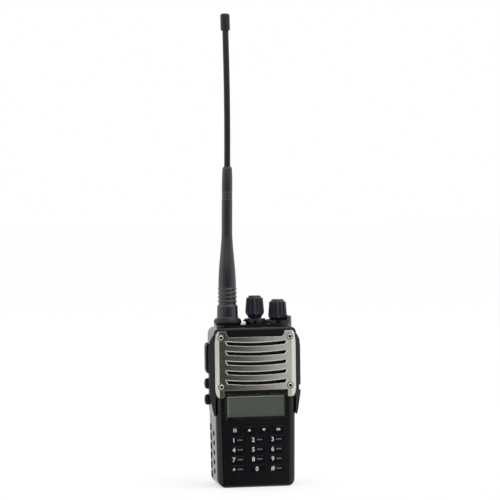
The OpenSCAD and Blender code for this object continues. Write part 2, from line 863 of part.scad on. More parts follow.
// Screw along +Y with a domed head that has a six-sided socket; its underside is at the origin
module domed_screw(d, len, head_d, head_t, socket) {
    difference() {
        union() {
            bar_y(d, -0.01, len);
            rotate([90, 0, 0]) rotate_extrude() intersection() {
                translate([0, head_t - head_d * 0.7]) circle(head_d * 0.7);
                square([head_d / 2, head_t]);
            }
        }
        rotate([0, screw_turn, 0]) along_y(-head_t - past, -head_t * 0.3)
            polygon([for (i = [0 : 5]) [cos(60 * i), sin(60 * i)] * socket / 2]);
    }
}

module grille_screws() {
    color("#b9b6ab") for (spot = screw_spots)
        translate([spot.x, yf - grille_proud + screw_sink, spot.y])
            domed_screw(screw_d, screw_len, screw_head_d, screw_head_t, screw_socket);
}

// Window with bevelled front edges, slightly proud of the case
module display_lens() {
    front = yf - lens_proud;
    back = yf + 0.3 + lens_t;
    x = lens_w / 2;
    z = lens_h / 2;
    color("#2c302f", 0.5) translate([0, 0, lcd_z]) intersection() {
        along_y(front, back) round_rect(lens_w, lens_h, 1);
        along_x(-lens_w, lens_w) polygon([
            [front - 1, lens_cut - z + 1], [front - 1, z - lens_cut - 1], [front + lens_cut + 1, z + 1],
            [back + 1, z + 1], [back + 1, -z - 1], [front + lens_cut + 1, -z - 1]
        ]);
        along_z(-lens_h, lens_h) polygon([
            [lens_cut - x + 1, front - 1], [x - lens_cut - 1, front - 1], [x + 1, front + lens_cut + 1],
            [x + 1, back + 1], [-x - 1, back + 1], [-x - 1, front + lens_cut + 1]
        ]);
    }
}

module lcd_panel() {
    color("#6c7468") translate([0, y_in + slide_gap, lcd_z])
        box([-lcd_w / 2 - lcd_edge, 0, -lcd_h / 2 - lcd_edge],
            [lcd_w / 2 + lcd_edge, lcd_t, lcd_h / 2 + lcd_edge]);
}

// Backlight tray on the keypad board, with a rim round the panel
module lcd_holder() {
    w = lcd_w + 2 * lcd_edge + 0.2;
    h = lcd_h + 2 * lcd_edge + 0.2;
    color("#d8d6cf") translate([0, 0, lcd_z]) difference() {
        along_y(y_in + slide_gap + 0.6, y_kb)
            square([w + 2 * holder_rim - 0.2, h + 2 * holder_rim - 0.2], center = true);
        along_y(y_in - past, y_in + slide_gap + lcd_t) square([w, h], center = true);
    }
}

module keypad_mat() {
    color("#2b2d31") difference() {
        box([-mat_x, y_mat, mat_z0], [mat_x, y_kb, mat_z1]);
        for (spot = key_spots) translate([spot.x, 0, spot.y])
            bar_y(mat_hole_d, y_mat - past, y_kb + past);
    }
}

// Board behind the keys, with a contact dome under each key
module keypad_board() {
    color("#1f5a3a") {
        difference() {
            along_y(y_kb, y_kb + board_t) polygon([
                [kb_cut - kb_x, kb_z0], [kb_x - kb_cut, kb_z0], [kb_x, kb_z0 + kb_cut],
                [kb_x, kb_z1], [-kb_x, kb_z1], [-kb_x, kb_z0 + kb_cut]
            ]);
            for (z = kb_boss_z, s = [-1, 1]) translate([s * kb_boss_x, 0, z])
                bar_y(small_screw_d + 0.2, y_kb - past, y_kb + board_t + past);
        }
        for (spot = key_spots) translate([spot.x, 0, spot.y])
            bar_y(dome_d, y_kb - dome_t, y_kb + 0.1);
    }
}

// One key: bevelled cap, flange behind the wall and a plunger over its dome
module key_at(spot) {
    w = spot[2];
    top = yf - key_proud;
    color("#101114") translate([spot.x, 0, spot.y]) {
        intersection() {
            along_y(top, y_flange + 0.1) round_rect(w, key_h, key_r);
            along_x(-w, w) polygon([
                [y_flange + past, -key_h / 2], [top + key_bevel, -key_h / 2],
                [top, -key_h / 2 + key_bevel], [top, key_h / 2 - key_bevel],
                [top + key_bevel, key_h / 2], [y_flange + past, key_h / 2]
            ]);
            along_z(-key_h, key_h) polygon([
                [-w / 2, y_flange + past], [-w / 2, top + key_bevel], [-w / 2 + key_bevel, top],
                [w / 2 - key_bevel, top], [w / 2, top + key_bevel], [w / 2, y_flange + past]
            ]);
        }
        along_y(y_flange, y_flange + key_flange_t)
            round_rect(w + 2 * key_flange, key_h + 2 * key_flange, key_r);
        bar_y(plunger_d, y_flange, plunger_tip);
    }
}

module key_1() { key_at(number_spot(0)); }
module key_2() { key_at(number_spot(1)); }
module key_3() { key_at(number_spot(2)); }
module key_4() { key_at(number_spot(3)); }
module key_5() { key_at(number_spot(4)); }
module key_6() { key_at(number_spot(5)); }
module key_7() { key_at(number_spot(6)); }
module key_8() { key_at(number_spot(7)); }
module key_9() { key_at(number_spot(8)); }
module key_star() { key_at(number_spot(9)); }
module key_0() { key_at(number_spot(10)); }
module key_hash() { key_at(number_spot(11)); }
module function_key_1() { key_at(function_spot(0)); }
module function_key_2() { key_at(function_spot(1)); }
module function_key_3() { key_at(function_spot(2)); }
module function_key_4() { key_at(function_spot(3)); }

// Board on the chassis standoffs, cut away beside the jack block
module main_board() {
    color("#1d4f36") difference() {
        box([-mb_x, y_mb, mb_z0], [mb_x, y_mb + board_t, mb_z1]);
        box([jack_notch_x, y_mb - past, jack_z - jack_block_h / 2 - 3],
            [mb_x + past, y_mb + board_t + past, mb_z1 + past]);
        for (spot = mb_screws) translate([spot.x, 0, spot.y])
            bar_y(small_screw_d + 0.2, y_mb - past, y_mb + board_t + past);
    }
}

module rf_shield() {
    color("#b4b7ba") translate([0, 0, shield_can_z]) difference() {
        along_y(y_mb - shield_t, y_mb) round_rect(shield_can[0], shield_can[1], 1);
        along_y(y_mb - shield_t + 0.4, y_mb + past)
            round_rect(shield_can[0] - 0.8, shield_can[1] - 0.8, 0.6);
    }
}

// Small screw along +Y with a flat head whose underside is at the origin
module small_screw(len) {
    bar_y(small_head_d, -small_head_t, 0);
    bar_y(small_screw_d, -0.1, len);
}

module board_screws() {
    color("#8d9094") {
        for (spot = mb_screws) translate([spot.x, y_mb, spot.y]) small_screw(board_t + 4);
        for (z = kb_boss_z, s = [-1, 1]) translate([s * kb_boss_x, y_kb + board_t, z])
            mirror([0, 1, 0]) small_screw(board_t + 2.2);
    }
}

// Speaker turned from one profile: rim, basket and magnet
module speaker() {
    r = spk_d / 2;
    color("#3a3c40") translate([0, y_spk, spk_z]) rotate([-90, 0, 0]) rotate_extrude() polygon([
        [0, 1.6], [magnet_d / 2 - 2, 1.2], [r - 1.5, 0.3], [r - 1.5, 0], [r, 0], [r, spk_rim_t],
        [r - 3, spk_rim_t], [magnet_d / 2 + 1, spk_t - 2], [magnet_d / 2, spk_t - 2],
        [magnet_d / 2, spk_t], [0, spk_t]
    ]);
}

module speaker_mesh() {
    color("#0c0d0e") translate([0, 0, spk_z]) bar_y(spk_d, y_in, y_in + mesh_t);
}

module microphone() {
    color("#777a7d") difference() {
        box([-2, y_kb - 2.6, kb_z0], [2, y_kb, kb_z0 + 2.6]);
        translate([0, y_kb - mic_back, kb_z0 - past]) cylinder(d = mic_port_d, h = 1.5 + past);
    }
}

// Body of a rotary control under the deck, with its threaded bushing and the shaft's bore
module control_body(x, rise) {
    translate([x, knob_y, z_ceiling]) difference() {
        union() {
            box([-control_w / 2, -control_w / 2, -control_h], [control_w / 2, control_w / 2, 0]);
            cylinder(d = bushing_d, h = deck_t + rise - bushing_top);
        }
        translate([0, 0, -shaft_in - body_gap])
            cylinder(d = shaft_d + 2 * shaft_gap, h = shaft_in + deck_t + rise + past);
    }
}

// Shaft of a rotary control, up into its knob
module control_shaft(x, rise) {
    foot = z_ceiling - shaft_in;
    translate([x, knob_y, foot])
        cylinder(d = shaft_d, h = body_h + rise + knob_gap + shaft_up - foot);
}

// Knob turned from one profile, with a necked foot and tapered finger flutes
module knob(x, rise) {
    lean = atan((knob_d - knob_shoulder_d) / 2 / (knob_h - knob_neck_h - knob_cone_h - knob_crown_h));
    wide_z = knob_neck_h + knob_cone_h;
    translate([x, knob_y, body_h + rise + knob_gap]) difference() {
        rotate_extrude() polygon([
            [0, 0], [knob_neck_d / 2, 0], [knob_neck_d / 2, knob_neck_h],
            [knob_d / 2 - 0.3, wide_z - 0.4], [knob_d / 2, wide_z + 0.5],
            [knob_shoulder_d / 2, knob_h - knob_crown_h], [knob_shoulder_d / 2 - 0.5, knob_h - 1.6],
            [knob_top_d / 2 + 0.6, knob_h - 1.4], [knob_top_d / 2 + 0.4, knob_h - 0.5],
            [knob_top_d / 2, knob_h], [0, knob_h]
        ]);
        for (i = [0 : knob_flutes - 1]) rotate([0, 0, (i + 0.5) * 360 / knob_flutes])
            translate([knob_d / 2 + flute_d / 2 - flute_deep, 0, wide_z])
                rotate([0, -lean, 0]) translate([0, 0, -6]) cylinder(d = flute_d, h = knob_h + 6);
        translate([0, 0, -past]) cylinder(d = shaft_d, h = shaft_up + past);
    }
}

module channel_encoder() { color("#6f7275") control_body(channel_x, channel_rise); }
module channel_shaft() { color("#a3a6a9") control_shaft(channel_x, channel_rise); }
module channel_knob() { color("#15161a") knob(channel_x, channel_rise); }
module volume_pot() { color("#6f7275") control_body(volume_x, volume_rise); }
module volume_shaft() { color("#a3a6a9") control_shaft(volume_x, volume_rise); }
module volume_knob() { color("#15161a") knob(volume_x, volume_rise); }

// Round slotted nuts sunk in the pedestals
module shaft_nuts() {
    color("#8d9094") for (control = [[channel_x, channel_rise], [volume_x, volume_rise]])
        translate([control[0], knob_y, body_h + control[1] - nut_t - seat_gap]) difference() {
            cylinder(d = nut_d, h = nut_t);
            translate([0, 0, -past]) cylinder(d = bushing_d + 0.1, h = nut_t + 2 * past);
            for (a = [0, 90]) rotate([0, 0, a])
                box([-nut_d, -0.5, nut_t - 0.7], [nut_d, 0.5, nut_t + past]);
        }
}

// Antenna socket: spigot through the deck, seat and stud
module antenna_connector() {
    color("#b08d4a") translate([antenna_x, antenna_y, body_h]) {
        translate([0, 0, -deck_t - spigot_len])
            cylinder(d = spigot_d, h = deck_t + spigot_len + platform_rise + 0.1);
        translate([0, 0, platform_rise]) {
            cylinder(d = connector_d, h = boot_foot - 0.1 - platform_rise);
            cylinder(d = stud_d, h = stud_h - platform_rise);
        }
    }
}

module antenna_plug() {
    color("#b08d4a") translate([antenna_x, antenna_y, body_h + boot_foot]) difference() {
        cylinder(d = plug_d, h = plug_top - boot_foot);
        translate([0, 0, -past]) cylinder(d = stud_d + 0.1, h = stud_h - boot_foot + 0.5 + past);
    }
}

module antenna_collar() {
    color("#1a1c1f") translate([antenna_x, antenna_y, body_h]) rotate_extrude() polygon([
        [collar_bore_d / 2, platform_rise], [collar_foot_d / 2, platform_rise],
        [collar_d / 2 - 0.5, platform_rise + 0.7], [collar_d / 2 - 0.1, platform_rise + 1.6],
        [collar_d / 2, platform_rise + 2.5], [collar_d / 2 - 0.5, collar_h - 0.7],
        [collar_top_d / 2, collar_h], [collar_bore_d / 2, collar_h]
    ]);
}

// Outline of the boot from its foot to its slim sleeve, with the ribs and rings left plain
boot_points = [
    [0, boot_foot], [boot_d / 2 - 0.4, boot_foot], [boot_d / 2, boot_foot + 0.4],
    [rib_mean_d / 2 + 0.35, rib_low - 0.3], [rib_mean_d / 2, rib_low],
    [rib_mean_d / 2, rib_low + boot_ribs * rib_pitch], [taper_low_d / 2, taper_low],
    [taper_low_d / 2 - 0.1, taper_low + 6], [taper_mid_d / 2, taper_mid],
    [boot_top_d / 2 + 0.35, taper_high - 4], [boot_top_d / 2 + 0.05, taper_high],
    [boot_top_d / 2, boot_h - 6], [boot_top_d / 2 - 0.3, boot_h - 1], [boot_top_d / 2 - 0.8, boot_h],
    [0, boot_h]
];

module antenna_boot() {
    color("#1b1d20") translate([antenna_x, antenna_y, body_h]) difference() {
        rotate_extrude() polygon(boot_points);
        for (i = [0 : boot_ribs - 1]) translate([0, 0, rib_low + (i + 0.5) * rib_pitch])
            rotate_extrude() translate([rib_mean_d / 2 + 0.55, 0]) circle(rib_pitch * 0.42, $fn = 32);
        for (i = [0 : 2]) translate([0, 0, sleeve_ring_h + i * sleeve_ring_pitch])
            rotate_extrude() translate([boot_top_d / 2 + 0.2, 0]) circle(0.2 + sleeve_ring_deep, $fn = 32);
        translate([0, 0, boot_foot - past]) cylinder(d = plug_d, h = plug_top - boot_foot + past);
        cylinder(d = whip_d, h = boot_h + past);
    }
}

module antenna_whip() {
    color("#121316") translate([antenna_x, antenna_y, body_h + plug_top])
        cylinder(d = whip_d, h = antenna_h - plug_top - cap_len / 2);
}

module antenna_cap() {
    top = antenna_h;
    foot = antenna_h - cap_len;
    color("#121316") translate([antenna_x, antenna_y, body_h]) difference() {
        rotate_extrude() polygon([
            [0, foot], [cap_d / 2 - 0.5, foot], [cap_d / 2, foot + 0.6], [cap_d / 2, top - 1.4],
            [cap_d / 2 - 0.4, top - 0.6], [cap_d / 2 - 1.2, top], [0, top]
        ]);
        translate([0, 0, foot - past]) cylinder(d = whip_d, h = cap_len / 2 + past);
    }
}

// Push-to-talk bar: crowned outer face, flange behind the pod's wall and a pressing rib
module ptt_button() {
    flange_x = pod_seat_x - seat_gap;
    color("#131417") translate([0, side_y, ptt_z]) {
        intersection() {
            along_x(-ptt_out_x, -flange_x + 0.1) round_rect(ptt_w, ptt_len, 2);
            along_y(-ptt_w, ptt_w) soften(0.8) polygon([
                [-flange_x + past, -ptt_len / 2], [-pod_x - 0.2, -ptt_len / 2],
                [-ptt_out_x + 0.2, -ptt_len / 2 + 2.5], [-ptt_out_x, -ptt_len / 4],
                [-ptt_out_x, ptt_len / 4], [-ptt_out_x + 0.2, ptt_len / 2 - 2.5],
                [-pod_x - 0.2, ptt_len / 2], [-flange_x + past, ptt_len / 2]
            ]);
            along_z(-ptt_len, ptt_len) soften(0.8) polygon([
                [-flange_x + past, -ptt_w / 2], [-pod_x - 0.6, -ptt_w / 2],
                [-ptt_out_x, -ptt_w / 2 + 1.2], [-ptt_out_x + 0.2, ptt_w / 2 - 2],
                [-pod_x + 0.6, ptt_w / 2], [-flange_x + past, ptt_w / 2]
            ]);
        }
        along_x(-flange_x, -flange_x + pod_flange_t)
            square([ptt_w + 2 * pod_flange, ptt_len + 2 * pod_flange], center = true);
        along_x(-flange_x, -ptt_tip_x) square([3, 8], center = true);
    }
}

// Round side key: domed cap, flange and plunger
module side_key(z) {
    flange_x = pod_seat_x - seat_gap;
    color("#131417") translate([0, side_y, z]) {
        translate([-flange_x + 0.1, 0, 0]) rotate([0, -90, 0]) rotate_extrude() polygon([
            [0, 0], [side_key_d / 2, 0], [side_key_d / 2, side_key_out_x - flange_x - 1.2],
            [side_key_d / 2 - 0.5, side_key_out_x - flange_x - 0.6],
            [side_key_d / 2 - 1.4, side_key_out_x - flange_x - 0.15],
            [side_key_d / 2 - 2.2, side_key_out_x - flange_x], [0, side_key_out_x - flange_x]
        ]);
        bar_x(side_key_d + 2 * pod_flange, -flange_x, -flange_x + pod_flange_t);
        bar_x(3, -flange_x, -side_key_tip_x);
    }
}

module side_key_upper() { side_key(side_key_z[0]); }
module side_key_lower() { side_key(side_key_z[1]); }

module side_board() {
    color("#1f5a3a") box([-ledge_x, side_y - 4.6, side_board_z0],
                         [-ledge_x + side_board_t, side_y + 4.6, side_board_z1]);
}

module side_switches() {
    color("#55585b") for (z = concat([ptt_z], side_key_z)) translate([0, side_y, z]) {
        along_x(-ledge_x - 1, -ledge_x) square([5, 5], center = true);
        bar_x(3, -switch_top_x, -ledge_x - 0.9);
    }
}

// Block with two jack sockets that open towards +X
module jack_block() {
    color("#202225") translate([0, side_y, jack_z]) difference() {
        box([jack_tail_x, -jack_block_w / 2, -jack_block_h / 2],
            [cover_floor_x, jack_block_w / 2, jack_block_h / 2]);
        for (jack = [[jack_large_d, 1], [jack_small_d, -1]])
            translate([0, 0, jack[1] * jack_pitch / 2])
                bar_x(jack[0], cover_floor_x - jack_depth, cover_floor_x + past);
    }
}

// Flap over the jacks: a panel, a narrow neck and a hinge barrel with two trunnions
module jack_cover() {
    shoulder = hinge_z - hinge_shoulder;
    color("#141518") {
        intersection() {
            box([cover_in_x, side_y - cover_w / 2, cover_z0],
                [cover_out_x, side_y + cover_w / 2, shoulder]);
            along_z(cover_z0 - past, cover_z1 + past) pod_plan();
        }
        along_y(hinge_y - hinge_w / 2, hinge_y + hinge_w / 2) {
            translate([cover_in_x, shoulder - past])
                square([hinge_x + hinge_r - cover_in_x, hinge_z - shoulder + past]);
            translate([hinge_x, hinge_z]) circle(hinge_r);
        }
        translate([hinge_x, 0, hinge_z])
            bar_y(trunnion_d, hinge_y - hinge_w / 2 - slide_gap - trunnion_len,
                  hinge_y + hinge_w / 2 + slide_gap + trunnion_len);
    }
}

module led_lens() {
    tall = deck_t + platform_rise + 0.1;
    color("#c9cdc4") translate([led_x, led_y, z_ceiling]) {
        cylinder(d = led_d, h = tall);
        translate([0, 0, tall]) intersection() {
            translate([0, 0, -1.6]) sphere(d = 4.4);
            cylinder(d = led_d, h = 1);
        }
    }
}

// Cast frame that closes the case behind: rail plate, shelf over the battery and the upper back
module rear_chassis() {
    plate_x = cav_x - seat_gap;
    color("#25272a") difference() {
        union() {
            along_y(y_chassis, y_split) intersection() {
                base_outline(z_shelf + shelf_t, z_floor + seat_gap);
                translate([-plate_x, 0]) square([2 * plate_x, body_h]);
            }
            box([-plate_x, y_chassis, z_shelf], [plate_x, y_back + 0.1, z_shelf + shelf_t]);
            intersection() {
                leaning_slab(y_back, yb, 0, back_edge_r);
                mirror([1, 0, 0]) leaning_slab(y_back, yb, 0, back_edge_r);
                along_y(y_back - past, yb + past) shoulder_outline();
                along_x(-pod_x, pod_x) {
                    translate([y_back, z_shelf]) square([yb - y_back, back_top - z_shelf - back_edge_r]);
                    translate([y_back, z_shelf]) square([yb - y_back - back_edge_r, back_top - z_shelf]);
                    translate([yb - back_edge_r, back_top - back_edge_r]) circle(back_edge_r);
                }
            }
            for (spot = mb_screws) translate([spot.x, 0, spot.y])
                bar_y(standoff_d, y_chassis - standoff, y_chassis + 0.1);
        }
        difference() {
            box([-plate_x, y_back - past, z_shelf + shelf_t],
                [plate_x, yb - back_wall, back_top - back_wall]);
            for (s = [-1, 1]) translate([s * clip_pitch / 2, 0, clip_z])
                bar_y(clip_boss_d, yb - back_wall - 2, yb);
        }
        for (s = [-1, 1]) translate([s * clip_pitch / 2, 0, clip_z])
            bar_y(clip_hole_d, yb - back_wall - 2 - past, yb + past);
        for (s = [-1, 1]) translate([s * hook_x, 0, 0]) {
            box([-hook_head_w / 2 - body_gap, y_hook - body_gap, 0],
                [hook_head_w / 2 + body_gap, y_hook + hook_head_t + body_gap, hook_z[1] + hook_len + 3]);
            box([-hook_neck_w / 2 - body_gap, y_hook, 0],
                [hook_neck_w / 2 + body_gap, y_split + past, hook_z[1] + hook_len + 3]);
        }
        latch_space();
        for (spot = mb_screws) translate([spot.x, 0, spot.y])
            bar_y(small_screw_d + 0.1, y_chassis - standoff - past, y_chassis - 0.8);
        for (x = contact_x) translate([x, 0, contact_z])
            bar_y(contact_d + 0.1, y_split - 1.2, y_split + past);
        for (x = base_screw_x) translate([x, base_screw_y, 0])
            cylinder(d = small_screw_d + 0.1, h = base_screw_sink + base_screw_len + 0.5);
    }
}

// Room in the upper back for the latch's button and in the shelf for its tooth
module latch_space() {
    button_z = latch_z0 + (latch_h - latch_button_h) / 2;
    box([-latch_button_w / 2 - body_gap, yb - back_wall - past, button_z - body_gap],
        [latch_button_w / 2 + body_gap, yb + past, button_z + latch_button_h + latch_travel + body_gap]);
    box([-tooth_w / 2 - body_gap, y_latch - body_gap, z_shelf - past],
        [tooth_w / 2 + body_gap, y_latch + tooth_t + body_gap, z_shelf + shelf_t + past]);
}

// Screws up through the base into the foot of the chassis
module chassis_screws() {
    color("#8d9094") for (x = base_screw_x) translate([x, base_screw_y, base_screw_sink])
        rotate([90, 0, 0]) small_screw(base_screw_len);
}

// Gasket between the case's ledge and the chassis, open at the top
module case_seal() {
    color("#3b3d40") along_y(y_ledge, y_chassis) difference() {
        intersection() {
            base_outline(z_shelf, z_floor + 0.1);
            translate([-cav_x + 0.1, 0]) square([2 * cav_x - 0.2, z_shelf]);
        }
        intersection() {
            base_outline(body_h, z_floor + ledge);
            translate([-ledge_x, 0]) square([2 * ledge_x, body_h]);
        }
    }
}

module radio_contacts() {
    color("#c9a24a") for (x = contact_x) translate([x, 0, contact_z])
        bar_y(contact_d, y_split - 1.2, y_split);
}

// Battery shell: rounded back, grip recesses, and a sloping shoulder for the latch's tooth
module battery_case() {
    inner_x = base_x - batt_wall - grip_deep;
    color("#191b1e") difference() {
        tapered_block(y_batt_shell, yb, 0, batt_edge_r, batt_h);
        along_y(y_batt_shell - past, yb - batt_wall) intersection() {
            base_outline(batt_h - batt_wall - batt_shoulder, batt_wall);
            translate([-inner_x, 0]) square([2 * inner_x, batt_h]);
        }
        grip_cuts(y_batt_shell, grip_w, grip_len, grip_z, grip_count);
        along_x(-pod_x, pod_x) polygon([
            [yb - batt_shoulder - past, batt_h + past], [yb + past, batt_h - batt_shoulder - past],
            [yb + past, batt_h + past]
        ]);
        for (x = charge_x) translate([x, 0, charge_z]) bar_y(charge_d + 0.1, yb - 0.8, yb + past);
    }
}

// Battery lid towards the radio, with the hooks that run in the chassis rails
module battery_cover() {
    color("#202225") difference() {
        union() {
            tapered_block(y_batt, y_batt_shell, 0, 0, batt_h);
            for (z = hook_z, s = [-1, 1]) translate([s * hook_x, 0, z]) {
                box([-hook_head_w / 2, y_hook, 0], [hook_head_w / 2, y_hook + hook_head_t, hook_len]);
                box([-hook_neck_w / 2, y_hook, 0], [hook_neck_w / 2, y_batt + 0.1, hook_len]);
            }
        }
        for (x = contact_x) translate([x, 0, contact_z])
            bar_y(contact_d + 0.1, y_batt - past, y_batt + 0.8);
    }
}

// Cells, contact pads and charging pads
module battery_inside() {
    color("#4a6a8a") for (s = [-1, 1]) translate([s * (cell_w / 2 + 0.4), 0, cell_z])
        along_y(y_batt_shell, yb - batt_wall - 0.3) translate([0, cell_h / 2]) round_rect(cell_w, cell_h, 3);
    color("#c9a24a") {
        for (x = contact_x) translate([x, 0, contact_z]) bar_y(contact_d, y_batt, y_batt + 0.8);
        for (x = charge_x) translate([x, 0, charge_z]) bar_y(charge_d, yb - 0.8, yb - 0.1);
    }
}

// Sliding latch: inner plate, ribbed thumb button and a sloping tooth over the battery's shoulder
module battery_latch() {
    button_z = latch_z0 + (latch_h - latch_button_h) / 2;
    color("#141518") difference() {
        union() {
            box([-latch_w / 2, y_latch, latch_z0], [latch_w / 2, y_latch + tooth_t, latch_z0 + latch_h]);
            box([-latch_button_w / 2, y_latch, button_z],
                [latch_button_w / 2, yb, button_z + latch_button_h]);
            along_x(-tooth_w / 2, tooth_w / 2) polygon([
                [y_latch, latch_z0 + 0.1], [y_latch, tooth_foot],
                [y_latch + tooth_t, tooth_foot - tooth_t], [y_latch + tooth_t, latch_z0 + 0.1]
            ]);
        }
        for (i = [-1 : 1]) translate([0, yb, button_z + latch_button_h / 2 + i * 1.3])
            rotate([0, 90, 0]) cylinder(d = 0.8, h = latch_button_w + 2, center = true);
    }
}

// Compression spring between the latch and the top of its bay, drawn as a stack of joined rounds
module latch_spring() {
    foot = latch_z0 + latch_h;
    step = (back_top - back_wall - foot) / spring_turns;
    color("#a3a6a9") translate([0, y_latch + tooth_t / 2, foot]) rotate_extrude() polygon(concat(
        [for (i = [0 : 2 * spring_turns]) [spring_r + (i % 2 == 0 ? 0 : spring_wire / 2), i * step / 2]],
        [[spring_r - spring_wire, spring_turns * step], [spring_r - spring_wire, 0]]
    ));
}

front_case();
speaker_grille();
grille_screws();
display_lens();
lcd_panel();
lcd_holder();
keypad_mat();
keypad_board();
function_key_1();
function_key_2();
function_key_3();
function_key_4();
key_1();
key_2();
key_3();
key_4();
key_5();
key_6();
key_7();
key_8();
key_9();
key_star();
key_0();
key_hash();
main_board();
rf_shield();
board_screws();
speaker();
speaker_mesh();
microphone();
channel_encoder();
channel_shaft();
channel_knob();
volume_pot();
volume_shaft();
volume_knob();
shaft_nuts();
antenna_connector();
antenna_plug();
antenna_collar();
antenna_boot();
antenna_whip();
antenna_cap();
ptt_button();
side_key_upper();
side_key_lower();
side_board();
side_switches();
jack_block();
jack_cover();
led_lens();
rear_chassis();
chassis_screws();
case_seal();
radio_contacts();
battery_case();
battery_cover();
battery_inside();
battery_latch();
latch_spring();
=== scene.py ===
"""A handheld two way radio dressed for a studio picture.

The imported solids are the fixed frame. Turned pieces that show are drawn again here as smooth
numpy surfaces in the same place, printed marks are added to the keys, every piece gets a node
finish, and a pale studio with soft light stands round it. Lengths are in metres.
"""

from __future__ import annotations

import logging
import math
from dataclasses import dataclass, field
from enum import Enum
from typing import Any, Callable, Optional, Sequence, Union

import bpy
import numpy as np
from mathutils import Matrix, Vector

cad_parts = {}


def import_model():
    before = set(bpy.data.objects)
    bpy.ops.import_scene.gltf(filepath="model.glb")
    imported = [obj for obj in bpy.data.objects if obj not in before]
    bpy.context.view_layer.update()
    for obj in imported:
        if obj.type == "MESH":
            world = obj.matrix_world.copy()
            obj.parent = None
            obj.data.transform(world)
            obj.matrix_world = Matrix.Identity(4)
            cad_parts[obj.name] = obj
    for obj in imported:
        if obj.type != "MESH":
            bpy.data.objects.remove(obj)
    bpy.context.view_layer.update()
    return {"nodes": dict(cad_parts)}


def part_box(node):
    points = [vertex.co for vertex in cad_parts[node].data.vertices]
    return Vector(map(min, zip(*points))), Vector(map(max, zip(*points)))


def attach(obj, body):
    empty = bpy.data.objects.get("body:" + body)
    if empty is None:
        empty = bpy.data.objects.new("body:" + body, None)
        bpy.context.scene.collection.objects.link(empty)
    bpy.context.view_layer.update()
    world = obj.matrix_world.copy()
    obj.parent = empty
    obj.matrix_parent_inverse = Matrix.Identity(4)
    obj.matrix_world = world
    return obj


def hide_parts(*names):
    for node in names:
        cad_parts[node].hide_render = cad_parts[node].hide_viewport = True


LOG = logging.getLogger("radio")
MM = 0.001
WELD_GAP = 0.001 * MM
CUT_SHARE = 0.45
FEW_OCTAVES = 2.0
MORE_OCTAVES = 3.0
WHITE = (1.0, 1.0, 1.0, 1.0)

Array = np.ndarray
Triple = tuple[float, float, float]
Colour = Triple
Point = Triple
Outline = Sequence[tuple[float, float]]
RadiusRule = Callable[[Array, Array, Array], Array]
BowRule = Callable[[Array], Array]


class Socket:
    """A shader value that takes part in Python expressions."""

    def __init__(self, sheet: "NodeSheet", out: bpy.types.NodeSocket) -> None:
        """Keeps the output socket and the sheet that its nodes go on."""
        self.sheet = sheet
        self.out = out

    def __add__(self, other: "Value") -> "Socket":
        """Sum of two values."""
        return self.sheet.math("ADD", self, other)

    def __radd__(self, other: "Value") -> "Socket":
        """Sum with a plain number on the left."""
        return self.sheet.math("ADD", other, self)

    def __sub__(self, other: "Value") -> "Socket":
        """Difference of two values."""
        return self.sheet.math("SUBTRACT", self, other)

    def __rsub__(self, other: "Value") -> "Socket":
        """Difference from a plain number on the left."""
        return self.sheet.math("SUBTRACT", other, self)

    def __mul__(self, other: "Value") -> "Socket":
        """Product of two values."""
        return self.sheet.math("MULTIPLY", self, other)

    def __rmul__(self, other: "Value") -> "Socket":
        """Product with a plain number on the left."""
        return self.sheet.math("MULTIPLY", other, self)

    def __truediv__(self, other: "Value") -> "Socket":
        """Quotient of two values."""
        return self.sheet.math("DIVIDE", self, other)

    def __rtruediv__(self, other: "Value") -> "Socket":
        """Quotient of a plain number on the left."""
        return self.sheet.math("DIVIDE", other, self)

    def __gt__(self, other: "Value") -> "Socket":
        """One where this value is the larger, else zero."""
        return self.sheet.math("GREATER_THAN", self, other)

    def __lt__(self, other: "Value") -> "Socket":
        """One where this value is the smaller, else zero."""
        return self.sheet.math("LESS_THAN", self, other)


Value = Union[Socket, float]


